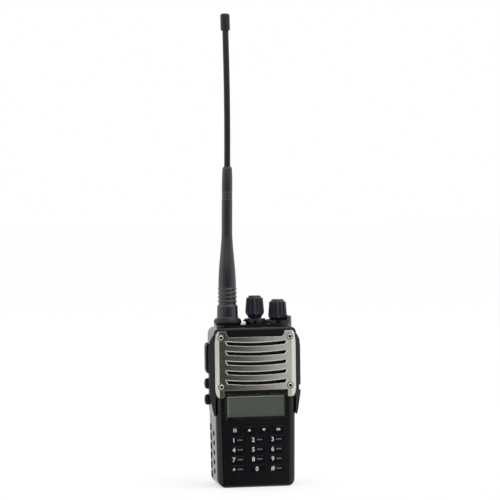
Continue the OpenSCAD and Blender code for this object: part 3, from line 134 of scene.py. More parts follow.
class NodeSheet:
    """A node tree, filled by expressions and one node-making method."""

    edge_samples: int = 6
    edge_gain: float = 6.0

    def __init__(self, tree: bpy.types.NodeTree) -> None:
        """Starts on an emptied tree."""
        self.tree = tree
        self.tree.nodes.clear()

    def node(
        self,
        kind: str,
        settings: Optional[dict[str, Any]] = None,
        inputs: Optional[dict[Any, Any]] = None,
        out: Any = 0,
    ) -> Socket:
        """Adds one node.

        Args:
            kind: the node's type.
            settings: properties to set first; "stops" fills a colour ramp.
            inputs: values or links of its sockets, by name or number.
            out: the output that is handed back, by name or number.

        Returns:
            The chosen output, ready for expressions.
        """
        made = self.tree.nodes.new(kind)
        for key, value in (settings or {}).items():
            if key == "stops":
                self._fill_ramp(made.color_ramp, value)
            else:
                setattr(made, key, value)
        for key, value in (inputs or {}).items():
            if isinstance(value, Socket):
                self.tree.links.new(value.out, made.inputs[key])
            else:
                made.inputs[key].default_value = value
        return Socket(self, made.outputs[out] if made.outputs else None)

    @staticmethod
    def _fill_ramp(ramp: bpy.types.ColorRamp, stops: Sequence[tuple[float, Sequence[float]]]) -> None:
        """Sets a ramp's stops.

        Args:
            ramp: the ramp.
            stops: a place and a colour each, in order.
        """
        while len(ramp.elements) < len(stops):
            ramp.elements.new(1.0)
        for element, (place, colour) in zip(ramp.elements, stops):
            element.position = place
            element.color = (*colour, 1.0)

    def math(self, operation: str, *values: Value) -> Socket:
        """One Math node on values or plain numbers."""
        return self.node("ShaderNodeMath", {"operation": operation}, dict(enumerate(values)))

    def blend(self, factor: Value, first: Any, second: Any) -> Socket:
        """Mixes two colours.

        Args:
            factor: 0 gives the first colour, 1 the second.
            first: a colour or a link.
            second: a colour or a link.

        Returns:
            The mixed colour.
        """
        pair = [c if isinstance(c, Socket) else (*c, 1.0) for c in (first, second)]
        return self.node("ShaderNodeMix", {"data_type": "RGBA"}, {0: factor, 6: pair[0], 7: pair[1]}, 2)

    def place(self, scale: Sequence[float] = (1.0, 1.0, 1.0)) -> Socket:
        """Object coordinates, stretched by a scale per axis."""
        where = self.node("ShaderNodeTexCoord", out="Object")
        return self.node("ShaderNodeMapping", inputs={"Vector": where, "Scale": tuple(scale)})

    def noise(self, size: float, detail: float = FEW_OCTAVES, stretch: Sequence[float] = (1, 1, 1)) -> Socket:
        """Noise from 0 to 1.

        Args:
            size: the width of one grain, in metres.
            detail: octaves of finer noise.
            stretch: how much longer a grain is along each axis.

        Returns:
            The noise value.
        """
        scale = tuple(1.0 / (size * s) for s in stretch)
        return self.node(
            "ShaderNodeTexNoise", inputs={"Vector": self.place(scale), "Scale": 1.0, "Detail": detail}
        )

    def axis(self, name: str) -> Socket:
        """One Object coordinate, in metres."""
        return self.node("ShaderNodeSeparateXYZ", inputs={0: self.place()}, out=name)

    def soft_edge(self, radius: float) -> Socket:
        """A normal that rounds sharp edges over a radius."""
        return self.node("ShaderNodeBevel", {"samples": self.edge_samples}, {"Radius": radius})

    def edge_mask(self, rounded: Socket) -> Socket:
        """Marks sharp edges.

        Args:
            rounded: a normal from soft_edge.

        Returns:
            0 on flats and up to 1 where the rounded normal leaves the face's own.
        """
        own = self.node("ShaderNodeNewGeometry", out="Normal")
        dot = self.node("ShaderNodeVectorMath", {"operation": "DOT_PRODUCT"}, {0: rounded, 1: own}, "Value")
        return self.math("MINIMUM", (1.0 - dot) * self.edge_gain, 1.0)

    def bump(self, height: Socket, distance: float, strength: float, base: Optional[Socket] = None) -> Socket:
        """A normal bent by a height field.

        Args:
            height: the field, from 0 to 1.
            distance: the height that 1 stands for, in metres.
            strength: the share of it that shows.
            base: the normal that it starts from.

        Returns:
            The bent normal.
        """
        inputs: dict[Any, Any] = {"Height": height, "Distance": distance, "Strength": strength}
        if base is not None:
            inputs["Normal"] = base
        return self.node("ShaderNodeBump", inputs=inputs)

    def shade(self, sockets: dict[str, Any]) -> None:
        """Ends the material in one Principled shader with these sockets."""
        surface = self.node("ShaderNodeBsdfPrincipled", inputs=sockets)
        self.node("ShaderNodeOutputMaterial", inputs={"Surface": surface})


def new_sheet(name: str) -> tuple[bpy.types.Material, NodeSheet]:
    """Starts a material.

    Args:
        name: the material's name.

    Returns:
        The new material and the sheet that fills it.
    """
    material = bpy.data.materials.new(name)
    material.use_nodes = True
    return material, NodeSheet(material.node_tree)


def toned(colour: Colour, share: float) -> Colour:
    """A colour made darker or lighter by a share, no lighter than white."""
    return tuple(min(c * share, 1.0) for c in colour)


@dataclass(frozen=True)
class Moulding:
    """Moulded plastic or rubber: mottled colour, fine grain, soft edges and a little edge wear."""

    name: str
    colour: Colour
    roughness: float
    grain: float = 0.22 * MM
    grain_height: float = 0.006 * MM
    grain_strength: float = 0.6
    mottle: float = 14.0 * MM
    mottle_spread: float = 0.22
    rough_spread: float = 0.10
    edge: float = 0.35 * MM
    wear: float = 0.010
    wear_share: float = 0.6
    specular: float = 0.5
    coat: float = 0.0
    coat_roughness: float = 0.12

    def material(self) -> bpy.types.Material:
        """Builds the finish.

        Returns:
            The material: colour = base, mottled by coarse noise and lifted along edges.
        """
        made, sheet = new_sheet(self.name)
        rounded = sheet.soft_edge(self.edge)
        mottle = sheet.noise(self.mottle, MORE_OCTAVES)
        grain = sheet.noise(self.grain)
        dark = toned(self.colour, 1.0 - self.mottle_spread)
        light = toned(self.colour, 1.0 + self.mottle_spread)
        worn = tuple(c + self.wear for c in self.colour)
        base = sheet.blend(mottle, dark, light)
        base = sheet.blend(sheet.edge_mask(rounded) * self.wear_share, base, worn)
        rough = self.roughness + (grain - 0.5) * self.rough_spread + (mottle - 0.5) * self.rough_spread
        sheet.shade({
            "Base Color": base,
            "Roughness": rough,
            "Specular IOR Level": self.specular,
            "Coat Weight": self.coat,
            "Coat Roughness": self.coat_roughness,
            "Normal": sheet.bump(grain, self.grain_height, self.grain_strength, rounded),
        })
        return made


@dataclass(frozen=True)
class StudSpots:
    """Where the four screws of the grille stand: mirrored in X, on two levels, along Y."""

    across: float
    levels: tuple[float, float]

    def within(self, sheet: NodeSheet, radius: float) -> Socket:
        """Marks rounds about the screws' axes.

        Args:
            sheet: the sheet that the nodes go on.
            radius: how far a round reaches.

        Returns:
            1 where the distance from the nearest axis is less than the radius, else 0.
        """
        x = sheet.math("ABSOLUTE", sheet.axis("X")) - self.across
        rises = [sheet.math("ABSOLUTE", sheet.axis("Z") - level) for level in self.levels]
        z = sheet.math("MINIMUM", *rises)
        return sheet.math("SQRT", x * x + z * z) < radius


GRILLE_STUDS = StudSpots(24.1 * MM, (70.0 * MM, 104.0 * MM))


@dataclass(frozen=True)
class BrushedPlate:
    """Metal brushed across in long streaks, slightly crowned; painted shade round its screws and deep in its
    slots.
    """

    name: str
    colour: Colour
    roughness: float
    crown: float
    edge: float = 0.3 * MM
    streak: float = 0.16 * MM
    streak_stretch: Triple = (60.0, 4.0, 1.0)
    streak_height: float = 0.006 * MM
    streak_strength: float = 0.5
    streak_share: float = 0.7
    streak_rough: float = 0.08
    cloud: float = 12.0 * MM
    cloud_stretch: Triple = (2.0, 1.0, 1.0)
    cloud_rough: float = 0.04
    tones: tuple[float, float] = (0.86, 1.12)
    # The next four fields set painted shade: a dark round about each screw, its colour, and slot faces set
    # back from the front.
    ring: float = 2.33 * MM
    painted_shade_colour: Colour = (0.012, 0.012, 0.011)
    slot_shade_half: float = 21.5 * MM
    slot_shade_from_y: float = -16.35 * MM
    anisotropy: float = 0.6
    brush_turn: float = 0.25

    def material(self) -> bpy.types.Material:
        """Builds the finish.

        Returns:
            The material: streaks are noise stretched along X, and the crown is a height of
            minus x squared over twice the crown's radius.
        """
        made, sheet = new_sheet(self.name)
        rounded = sheet.soft_edge(self.edge)
        streak = sheet.noise(self.streak, MORE_OCTAVES, self.streak_stretch)
        cloud = sheet.noise(self.cloud, FEW_OCTAVES, self.cloud_stretch)
        dark, light = (toned(self.colour, share) for share in self.tones)
        normal = sheet.bump(streak, self.streak_height, self.streak_strength, rounded)
        x = sheet.axis("X")
        normal = sheet.bump(x * x * (-0.5 / self.crown), 1.0, 1.0, normal)
        base = sheet.blend(streak * self.streak_share + cloud * (1.0 - self.streak_share), dark, light)
        # Painted shade: the plate is coloured dark within a round of each screw and on the slot faces set
        # back from the front.
        middle = sheet.math("ABSOLUTE", x) < self.slot_shade_half
        deep = middle * (sheet.axis("Y") > self.slot_shade_from_y)
        painted_shade = sheet.math("MAXIMUM", GRILLE_STUDS.within(sheet, self.ring), deep)
        rough = self.roughness + (streak - 0.5) * self.streak_rough + (cloud - 0.5) * self.cloud_rough
        sheet.shade({
            "Base Color": sheet.blend(painted_shade, base, self.painted_shade_colour),
            "Metallic": 1.0,
            "Roughness": rough,
            "Anisotropic": self.anisotropy,
            "Anisotropic Rotation": self.brush_turn,
            "Normal": normal,
        })
        return made


@dataclass(frozen=True)
class PlatedMetal:
    """Plain plated or turned metal with faint blotches, and painted shade in the sockets of screws."""

    name: str
    colour: Colour
    roughness: float
    # Radius of painted shade in each grille screw's socket; 0 gives none.
    socket: float = 0.0
    socket_shade_colour: Colour = (0.008, 0.008, 0.007)
    blotch: float = 2.0 * MM
    blotch_tone: float = 0.8
    scratch: float = 0.2 * MM
    scratch_stretch: Triple = (1.0, 1.0, 14.0)
    scratch_rough: float = 0.15
    edge: float = 0.2 * MM

    def material(self) -> bpy.types.Material:
        """Builds the finish.

        Returns:
            The material: metal whose tint and roughness follow soft noise.
        """
        made, sheet = new_sheet(self.name)
        scratch = sheet.noise(self.scratch, FEW_OCTAVES, self.scratch_stretch)
        dark = toned(self.colour, self.blotch_tone)
        base = sheet.blend(sheet.noise(self.blotch, MORE_OCTAVES), dark, self.colour)
        # Painted shade: the socket in the middle of each grille screw's head is coloured dark.
        if self.socket:
            base = sheet.blend(GRILLE_STUDS.within(sheet, self.socket), base, self.socket_shade_colour)
        sheet.shade({
            "Base Color": base,
            "Metallic": 1.0,
            "Roughness": self.roughness + (scratch - 0.5) * self.scratch_rough,
            "Normal": sheet.soft_edge(self.edge),
        })
        return made


@dataclass(frozen=True)
class CellPack:
    """Wrapped battery cells whose contact pads, front and back, are gold."""

    name: str
    wrap: Colour
    gold: Colour
    pads_front: float
    pads_back: float
    blotch: float = 3.0 * MM
    blotch_tone: float = 0.8
    roughness: float = 0.3
    rough_spread: float = 0.1

    def material(self) -> bpy.types.Material:
        """Builds the finish.

        Returns:
            The material: the pads are what lies before or behind two planes across Y.
        """
        made, sheet = new_sheet(self.name)
        blotch = sheet.noise(self.blotch, MORE_OCTAVES)
        y = sheet.axis("Y")
        pads = sheet.math("MAXIMUM", y < self.pads_front, y > self.pads_back)
        wrap, gold = (sheet.blend(blotch, toned(c, self.blotch_tone), c) for c in (self.wrap, self.gold))
        sheet.shade({
            "Base Color": sheet.blend(pads, wrap, gold),
            "Metallic": pads,
            "Roughness": self.roughness + (blotch - 0.5) * self.rough_spread,
        })
        return made


@dataclass(frozen=True)
class ClearWindow:
    """Clear hard-coated window with a trace of haze."""

    name: str
    tint: Colour
    roughness: float
    clear: float = 0.985
    bending: float = 1.45
    smear: float = 6.0 * MM
    smear_stretch: Triple = (3.0, 1.0, 1.0)
    smear_rough: float = 0.03

    def material(self) -> bpy.types.Material:
        """Builds the finish.

        Returns:
            The material: clear glass with a trace of smear in its gloss.
        """
        made, sheet = new_sheet(self.name)
        smear = sheet.noise(self.smear, MORE_OCTAVES, self.smear_stretch)
        sheet.shade({
            "Base Color": (*self.tint, 1.0),
            "Roughness": self.roughness + smear * self.smear_rough,
            "IOR": self.bending,
            "Transmission Weight": self.clear,
        })
        return made


@dataclass(frozen=True)
class LiquidDisplay:
    """Unlit liquid crystal panel: grey-green, dot grid, painted highlight on its left and top edge."""

    name: str
    colour: Colour
    # The next four fields set a painted highlight: pale colours left of one line and above another.
    left_highlight_colour: Colour
    top_highlight_colour: Colour
    left: float
    top: float
    dot: float = 0.5 * MM
    dot_level: float = 0.93
    dot_share: float = 0.25
    cloud: float = 20.0 * MM
    tones: tuple[float, float] = (0.86, 1.1)
    roughness: float = 0.35
    rough_spread: float = 0.1

    def material(self) -> bpy.types.Material:
        """Builds the finish.

        Returns:
            The material: the grid's lines are where the sine of x or z, one wave a dot, is high.
        """
        made, sheet = new_sheet(self.name)
        turn = 2.0 * math.pi / self.dot
        wave_x = sheet.math("SINE", sheet.axis("X") * turn)
        wave_z = sheet.math("SINE", sheet.axis("Z") * turn)
        grid = sheet.math("MAXIMUM", wave_x, wave_z) > self.dot_level
        cloud = sheet.noise(self.cloud)
        dark, light = (toned(self.colour, share) for share in self.tones)
        base = sheet.blend(cloud, dark, light)
        base = sheet.blend(grid * self.dot_share, base, light)
        # Painted highlight: pale strips along the panel's left and top edge.
        base = sheet.blend(sheet.axis("X") < self.left, base, self.left_highlight_colour)
        sheet.shade({
            "Base Color": sheet.blend(sheet.axis("Z") > self.top, base, self.top_highlight_colour),
            "Roughness": self.roughness + (cloud - 0.5) * self.rough_spread,
        })
        return made


@dataclass(frozen=True)
class PrintedInk:
    """Ink printed on a key, slightly uneven."""

    name: str
    colour: Colour
    patch: float = 0.4 * MM
    patch_tone: float = 0.75
    roughness: float = 0.5
    rough_spread: float = 0.2

    def material(self) -> bpy.types.Material:
        """Builds the finish.

        Returns:
            The material: matt ink, thinner in places.
        """
        made, sheet = new_sheet(self.name)
        thin = sheet.noise(self.patch, MORE_OCTAVES)
        sheet.shade({
            "Base Color": sheet.blend(thin, toned(self.colour, self.patch_tone), self.colour),
            "Roughness": self.roughness + (thin - 0.5) * self.rough_spread,
        })
        return made


class Finish(Enum):
    """The finishes of the radio, by what they are on."""

    CASE = Moulding("moulded_case", (0.0028, 0.0036, 0.0052), 0.34, edge=0.6 * MM, specular=0.06, coat=0.6)
    BATTERY = Moulding("moulded_battery", (0.0028, 0.0032, 0.0042), 0.34, specular=0.06, coat=0.6)
    CHASSIS = Moulding("cast_chassis", (0.007, 0.0075, 0.008), 0.25, grain=0.4 * MM, specular=0.1, coat=0.7)
    KEY = Moulding("key_caps", (0.0030, 0.0035, 0.0060), 0.30, wear=0.004, specular=0.08, coat=0.15)
    BUTTON = Moulding("side_buttons", (0.0045, 0.0050, 0.0060), 0.36, wear=0.008, specular=0.15)
    KNOB = Moulding("soft_knobs", (0.0055, 0.0066, 0.0165), 0.22, wear=0.006, specular=0.6)
    ANTENNA = Moulding("antenna_rubber", (0.0118, 0.0120, 0.0185), 0.24, wear=0.006, specular=0.7)
    COLLAR = Moulding("collar_plastic", (0.0090, 0.0095, 0.0120), 0.30, wear=0.006, specular=0.3)
    WHIP = Moulding("whip_sleeve", (0.0070, 0.0070, 0.0075), 0.30, wear=0.006, specular=0.4)
    MAT = Moulding("grey_rubber", (0.03, 0.03, 0.034), 0.6)
    BOARD = Moulding("board_resist", (0.012, 0.085, 0.04), 0.35, wear=0.05)
    TRAY = Moulding("white_tray", (0.62, 0.61, 0.58), 0.5, wear=0.0)
    CLOTH = Moulding("speaker_cloth", (0.003, 0.003, 0.003), 0.9, grain=0.5 * MM, wear=0.0)
    LIGHT = Moulding("light_lens", (0.020, 0.022, 0.020), 0.15, wear=0.0)
    SPEAKER = Moulding("speaker_basket", (0.006, 0.006, 0.006), 0.6, wear=0.0, specular=0.2)
    CELL = CellPack("cell_pack", (0.05, 0.09, 0.16), (0.72, 0.52, 0.2), 5.4 * MM, 15.6 * MM)
    GRILLE = BrushedPlate("brushed_grille", (0.66, 0.645, 0.59), 0.18, crown=0.34)
    # The socket radius paints shade into the grille screws' sockets.
    GRILLE_SCREW = PlatedMetal("socket_screw", (0.62, 0.61, 0.57), 0.22, socket=1.08 * MM)
    SCREW = PlatedMetal("screw_steel", (0.62, 0.61, 0.57), 0.28)
    BLACK_STEEL = PlatedMetal("black_steel", (0.02, 0.02, 0.022), 0.45)
    TIN = PlatedMetal("tin_plate", (0.55, 0.56, 0.58), 0.35)
    GOLD = PlatedMetal("gold_plate", (0.72, 0.52, 0.2), 0.25)
    WINDOW = ClearWindow("clear_window", (0.86, 0.88, 0.86), 0.03)
    # The pale left and top colours paint a highlight on the panel's edges.
    DISPLAY = LiquidDisplay(
        "grey_display", (0.165, 0.196, 0.160), left_highlight_colour=(0.50, 0.55, 0.51),
        top_highlight_colour=(0.86, 0.88, 0.86), left=-18.9 * MM, top=62.35 * MM,
    )
    INK = PrintedInk("white_ink", (0.78, 0.78, 0.76))
    FAINT_INK = PrintedInk("grey_ink", (0.19, 0.19, 0.2))


class Palette:
    """Makes each finish once and lays it on pieces."""

    def __init__(self) -> None:
        """Starts with no finish made."""
        self._made: dict[Finish, bpy.types.Material] = {}

    def coat(self, piece: bpy.types.Object, finish: Finish) -> None:
        """Gives a piece one finish in place of what it had.

        Args:
            piece: the piece.
            finish: the finish, whose material is made at its first use.
        """
        if finish not in self._made:
            self._made[finish] = finish.value.material()
        piece.data.materials.clear()
        piece.data.materials.append(self._made[finish])


def rounded_profile(points: Outline, radius: float, steps: int = 6) -> Array:
    """Rounds the inner corners of an open outline.

    Each corner is cut back along both sides by the radius, or by CUT_SHARE of a shorter side, and
    the cut is joined by a quadratic curve whose control point is the corner.

    Args:
        points: the outline's corners.
        radius: how far back a corner is cut.
        steps: points on each curve.

    Returns:
        The rounded outline, one point a row.
    """
    corner = np.asarray(points, float)
    side = np.diff(corner, axis=0)
    length = np.linalg.norm(side, axis=1)
    unit = side / length[:, None]
    cut = np.minimum(radius, CUT_SHARE * np.minimum(length[:-1], length[1:]))[:, None]
    start = corner[1:-1] - unit[:-1] * cut
    end = corner[1:-1] + unit[1:] * cut
    t = np.linspace(0.0, 1.0, steps)[None, :, None]
    mid = corner[1:-1][:, None, :]
    curve = (1 - t) ** 2 * start[:, None, :] + 2 * t * (1 - t) * mid + t**2 * end[:, None, :]
    return np.vstack([corner[:1], curve.reshape(-1, 2), corner[-1:]])


def grid_faces(rows: int, columns: int) -> Array:
    """Quads of a grid whose columns wrap round, facing out for a profile that runs upwards.

    Args:
        rows: points along the profile.
        columns: points round the axis.

    Returns:
        Four point numbers a row.
    """
    row = np.arange(rows - 1)[:, None] * columns
    column = np.arange(columns)[None, :]
    after = (column + 1) % columns
    quads = np.stack([row + column, row + after, row + columns + after, row + columns + column], -1)
    return quads.reshape(-1, 4)


def placed(name: str, data: bpy.types.ID) -> bpy.types.Object:
    """Puts data into the scene as an object at the origin.

    Args:
        name: the object's name.
        data: its mesh, text, lamp or camera.

    Returns:
        The new object.
    """
    made = bpy.data.objects.new(name, data)
    bpy.context.scene.collection.objects.link(made)
    return made


def mesh_piece(name: str, points: Array, faces: Array, smooth_angle: float = 40.0) -> bpy.types.Object:
    """Puts a surface into the scene as an object at the origin.

    Args:
        name: the piece's name.
        points: its points, one a row.
        faces: its quads.
        smooth_angle: edges sharper than this stay crisp, in degrees.

    Returns:
        The new object.
    """
    mesh = bpy.data.meshes.new(name)
    mesh.from_pydata(points.tolist(), [], faces.tolist())
    mesh.validate()
    made = placed(name, mesh)
    weld = made.modifiers.new("close_poles", "WELD")
    weld.merge_threshold = WELD_GAP
    mesh.shade_smooth()
    mesh.set_sharp_from_angle(angle=math.radians(smooth_angle))
    return made


def turned(
    name: str,
    outline: Array,
    axis: tuple[float, float],
    columns: int = 96,
    rule: Optional[RadiusRule] = None,
    bow: Optional[BowRule] = None,
) -> bpy.types.Object:
    """Turns an outline about an upright axis.

    A point is (x0 + b(z) + r cos a, y0 + r sin a, z), with r and z from the outline. r may be
    changed by a rule of the angle, the height and r itself, and b is a sideways bow.

    Args:
        name: the piece's name.
        outline: radius and height, one point a row, from foot to tip.
        axis: the axis's x and y.
        columns: points round the axis.
        rule: optional new radius from angle, height and radius.
        bow: optional sideways shift from the height.

    Returns:
        The new object.
    """
    angle = np.linspace(0.0, 2.0 * math.pi, columns, endpoint=False)[None, :]
    radius = np.repeat(outline[:, :1], columns, axis=1)
    height = np.repeat(outline[:, 1:], columns, axis=1)
    if rule is not None:
        radius = rule(angle, height, radius)
    middle = axis[0] + (bow(height) if bow is not None else 0.0)
    points = np.stack([middle + radius * np.cos(angle), axis[1] + radius * np.sin(angle), height], -1)
    return mesh_piece(name, points.reshape(-1, 3), grid_faces(len(outline), columns))


@dataclass
class Antenna:
    """Collar, ribbed boot, whip and tip cap of the antenna."""

    palette: Palette
    rib_count: int = 4
    rib_pitch: float = 2.9 * MM
    rib_low: float = 14.75 * MM
    rib_depth: float = 0.7 * MM
    rib_power: float = 3.0
    rib_inner: float = 5.0 * MM
    ring_low: float = 89.0 * MM
    ring_count: int = 3
    ring_pitch: float = 2.2 * MM
    ring_depth: float = 0.18 * MM
    ring_wide: float = 0.45 * MM
    sleeve_inner: float = 3.0 * MM
    boot_round: float = 0.5 * MM
    boot_steps: int = 5
    row_step: float = 0.2 * MM
    thin_rows: int = 10
    kept_turn: float = 0.5
    bow_most: float = 1.5 * MM
    bow_wave: float = 310.0 * MM
    bow_power: float = 3.2
    whip_rows: int = 80
    whip_columns: int = 48
    cap_columns: int = 64
    cap_round: float = 0.6 * MM
    cap_bore: float = 0.66
    cap_foot: tuple[float, float] = (0.84, 0.9 * MM)
    cap_dome: Outline = ((1.0, 1.6 * MM), (0.9, 0.5 * MM), (0.55, 0.0))
    collar_round: float = 0.6 * MM
    collar_low: float = 1.8 * MM
    boot: Outline = (
        (4.5, 6.02), (7.9, 6.02), (7.75, 6.15), (7.5, 6.5), (7.4, 7.2), (7.37, 8.0), (7.2, 14.2),
        (6.9, 14.75), (6.86, 15.2), (6.86, 26.3), (6.3, 26.8), (6.2, 27.4), (6.17, 30.0),
        (6.08, 33.0), (5.73, 39.2), (5.46, 42.6), (5.16, 46.1), (4.83, 49.6), (4.5, 53.1),
        (4.05, 59.0), (3.8, 62.5), (3.74, 66.0), (3.72, 88.0), (3.68, 100.0), (3.6, 104.0),
        (3.4, 109.6), (2.9, 111.0), (2.17, 111.0), (2.17, 16.0), (4.5, 16.0), (4.5, 6.02),
    )
    collar: Outline = (
        (5.4, 1.8), (8.6, 1.8), (9.4, 2.2), (9.72, 2.9), (9.75, 3.6), (9.5, 4.6), (9.0, 5.5),
        (8.2, 6.0), (5.4, 6.0), (5.4, 1.8),
    )

    def build(self) -> list[bpy.types.Object]:
        """Draws the four pieces in place of their solids.

        Returns:
            The new pieces.
        """
        low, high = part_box("antenna_collar")
        axis = ((low.x + high.x) / 2, (low.y + high.y) / 2)
        deck = low.z - self.collar_low

        def bow(height: Array) -> Array:
            """Slack of the rubber: most * sin(pi h / wave) ** power, with h the height over the deck."""
            h = np.clip(height - deck, 0.0, self.bow_wave)
            return self.bow_most * np.sin(math.pi * h / self.bow_wave) ** self.bow_power

        made = [
            self._boot(axis, deck, bow), self._collar(axis, deck),
            self._whip(axis, bow), self._cap(axis, bow),
        ]
        parts = (
            ("antenna_boot", "antenna_rubber", Finish.ANTENNA),
            ("antenna_collar", "collar_plastic", Finish.COLLAR),
            ("antenna_whip", "whip_plastic", Finish.WHIP),
            ("antenna_cap", "antenna_rubber", Finish.WHIP),
        )
        for piece, (node, slot, finish) in zip(made, parts):
            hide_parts(node)
            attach(piece, "radio")
            self.palette.coat(piece, finish)
        return made

    def _boot(self, axis: tuple[float, float], deck: float, bow: BowRule) -> bpy.types.Object:
        """Ribbed boot.

        The outline is resampled in even steps. Each rib groove takes
        depth * (1 - (0.5 + 0.5 cos(2 pi t)) ** power) off the radius, with t the height in
        pitches, and each sleeve ring a narrow bell, depth * exp(-(d / wide) ** 2), with d the way
        from its middle. Straight runs are thinned at the end, and turns keep all their rows.

        Args:
            axis: the antenna's x and y.
            deck: the height of the deck.
            bow: the sideways shift at a height.

        Returns:
            The boot.
        """
        outline = rounded_profile([(r * MM, z * MM) for r, z in self.boot], self.boot_round, self.boot_steps)
        run = np.concatenate([[0.0], np.cumsum(np.linalg.norm(np.diff(outline, axis=0), axis=1))])
        even = np.linspace(0.0, run[-1], int(run[-1] / self.row_step))
        outline = np.stack([np.interp(even, run, outline[:, 0]), np.interp(even, run, outline[:, 1])], -1)
        z = outline[:, 1]
        t = (z - self.rib_low) / self.rib_pitch
        inside = (t > 0.0) & (t < self.rib_count) & (outline[:, 0] > self.rib_inner)
        groove = self.rib_depth * (1.0 - (0.5 + 0.5 * np.cos(2 * math.pi * t)) ** self.rib_power) * inside
        rings = self.ring_low + np.arange(self.ring_count) * self.ring_pitch
        bell = np.exp(-(((z[:, None] - rings) / self.ring_wide) ** 2)).sum(axis=1)
        outer = outline[:, 0] > self.sleeve_inner
        outline[:, 0] -= groove + self.ring_depth * bell * outer
        outline[:, 1] += deck
        step = np.diff(outline, axis=0)
        course = np.unwrap(np.arctan2(step[:, 1], step[:, 0]))
        keep = np.arange(len(z)) % self.thin_rows == 0
        keep[[0, -1]] = True
        keep[1:-1] |= np.abs(np.diff(course)) > math.radians(self.kept_turn)
        return turned("antenna_boot_smooth", outline[keep], axis, bow=bow)

    def _collar(self, axis: tuple[float, float], deck: float) -> bpy.types.Object:
        """Rounded collar under the boot."""
        outline = rounded_profile([(r * MM, deck + z * MM) for r, z in self.collar], self.collar_round)
        return turned("antenna_collar_smooth", outline, axis)

    def _whip(self, axis: tuple[float, float], bow: BowRule) -> bpy.types.Object:
        """Slim whip from inside the boot to inside the cap.

        It has one radius from foot to tip, and a point on the axis closes each end.

        Args:
            axis: the antenna's x and y.
            bow: the sideways shift at a height.

        Returns:
            The whip.
        """
        low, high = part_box("antenna_whip")
        r = (high.x - low.x) / 2
        z = np.linspace(low.z, high.z, self.whip_rows)
        edge = np.stack([np.full_like(z, r), z], -1)
        outline = np.vstack([[(0.0, low.z)], edge, [(0.0, high.z)]])
        return turned("antenna_whip_smooth", outline, axis, self.whip_columns, bow=bow)

    def _cap(self, axis: tuple[float, float], bow: BowRule) -> bpy.types.Object:
        """Rounded tip cap, bored for the whip in its lower half.

        The outline runs down the bore, out under the foot, up the flank and over the dome, whose
        corners are shares of the radius and drops below the tip.

        Args:
            axis: the antenna's x and y.
            bow: the sideways shift at a height.

        Returns:
            The cap.
        """
        low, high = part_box("antenna_cap")
        r = (high.x - low.x) / 2
        tall = high.z - low.z
        bore = r * self.cap_bore
        foot, lift = self.cap_foot
        corners = [
            (0.0, tall / 2), (bore, tall / 2), (bore, 0.0), (r * foot, 0.0), (r, lift),
            *((r * share, tall - drop) for share, drop in self.cap_dome), (0.0, tall),
        ]
        outline = rounded_profile(corners, self.cap_round)
        outline[:, 1] += low.z
        return turned("antenna_cap_smooth", outline, axis, self.cap_columns, bow=bow)


@dataclass
class Knobs:
    """The two fluted finger knobs."""

    palette: Palette
    flutes: int = 12
    flute_power: float = 0.8
    edge_round: float = 0.45 * MM
    edge_steps: int = 7
    columns: int = 240
    core: Outline = ((5.5, 2.6), (5.55, 4.4), (4.95, 13.9))
    profile: Outline = (
        (0.0, 11.0), (3.02, 11.0), (3.02, 0.0), (4.65, 0.0), (4.65, 0.6), (6.25, 2.9), (6.6, 3.9),
        (6.2, 9.0), (5.8, 13.7), (5.5, 14.0), (4.6, 14.15), (4.45, 15.0), (4.0, 15.6), (0.0, 15.6),
    )

    def build(self) -> list[bpy.types.Object]:
        """Draws both knobs in place of their solids.

        Returns:
            The new pieces.
        """
        made = []
        for node, body in (("channel_knob", "channel_control"), ("volume_knob", "volume_control")):
            low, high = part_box(node)
            axis = ((low.x + high.x) / 2, (low.y + high.y) / 2)
            corners = [(r * MM, z * MM) for r, z in self.profile]
            outline = rounded_profile(corners, self.edge_round, self.edge_steps)
            outline[:, 1] += low.z
            piece = turned(node + "_smooth", outline, axis, self.columns, self._rule(low.z))
            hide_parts(node)
            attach(piece, body)
            self.palette.coat(piece, Finish.KNOB)
            made.append(piece)
        return made

    def _rule(self, foot: float) -> RadiusRule:
        """Radius rule of the flutes.

        Where the outline stands out over a slimmer core, a flute takes
        (0.5 + 0.5 cos(n a)) ** power of the difference off the radius.

        Args:
            foot: the height of the knob's foot.

        Returns:
            The rule.
        """
        inner, level = np.asarray(self.core).T * MM

        def rule(angle: Array, height: Array, radius: Array) -> Array:
            """New radius from angle, height and radius."""
            spare = np.maximum(radius - np.interp(height - foot, level, inner), 0.0)
            return radius - spare * (0.5 + 0.5 * np.cos(self.flutes * angle)) ** self.flute_power

        return rule


class Sign(Enum):
    """Plain signs for the function keys, as triangles and bars in units of half a sign."""

    BARS = (((-1, 0.55), (1, 0.55), (1, 0.85), (-1, 0.85)), ((-1, -0.15), (1, -0.15), (1, 0.15), (-1, 0.15)),
            ((-1, -0.85), (1, -0.85), (1, -0.55), (-1, -0.55)))
    UP = (((-0.9, -0.6), (0.9, -0.6), (0.0, 0.8)),)
    DOWN = (((-0.9, 0.6), (0.0, -0.8), (0.9, 0.6)),)
    PAIR = (((-1.2, 0.0), (-0.2, -0.8), (-0.2, 0.8)), ((1.2, 0.0), (0.2, 0.8), (0.2, -0.8)))


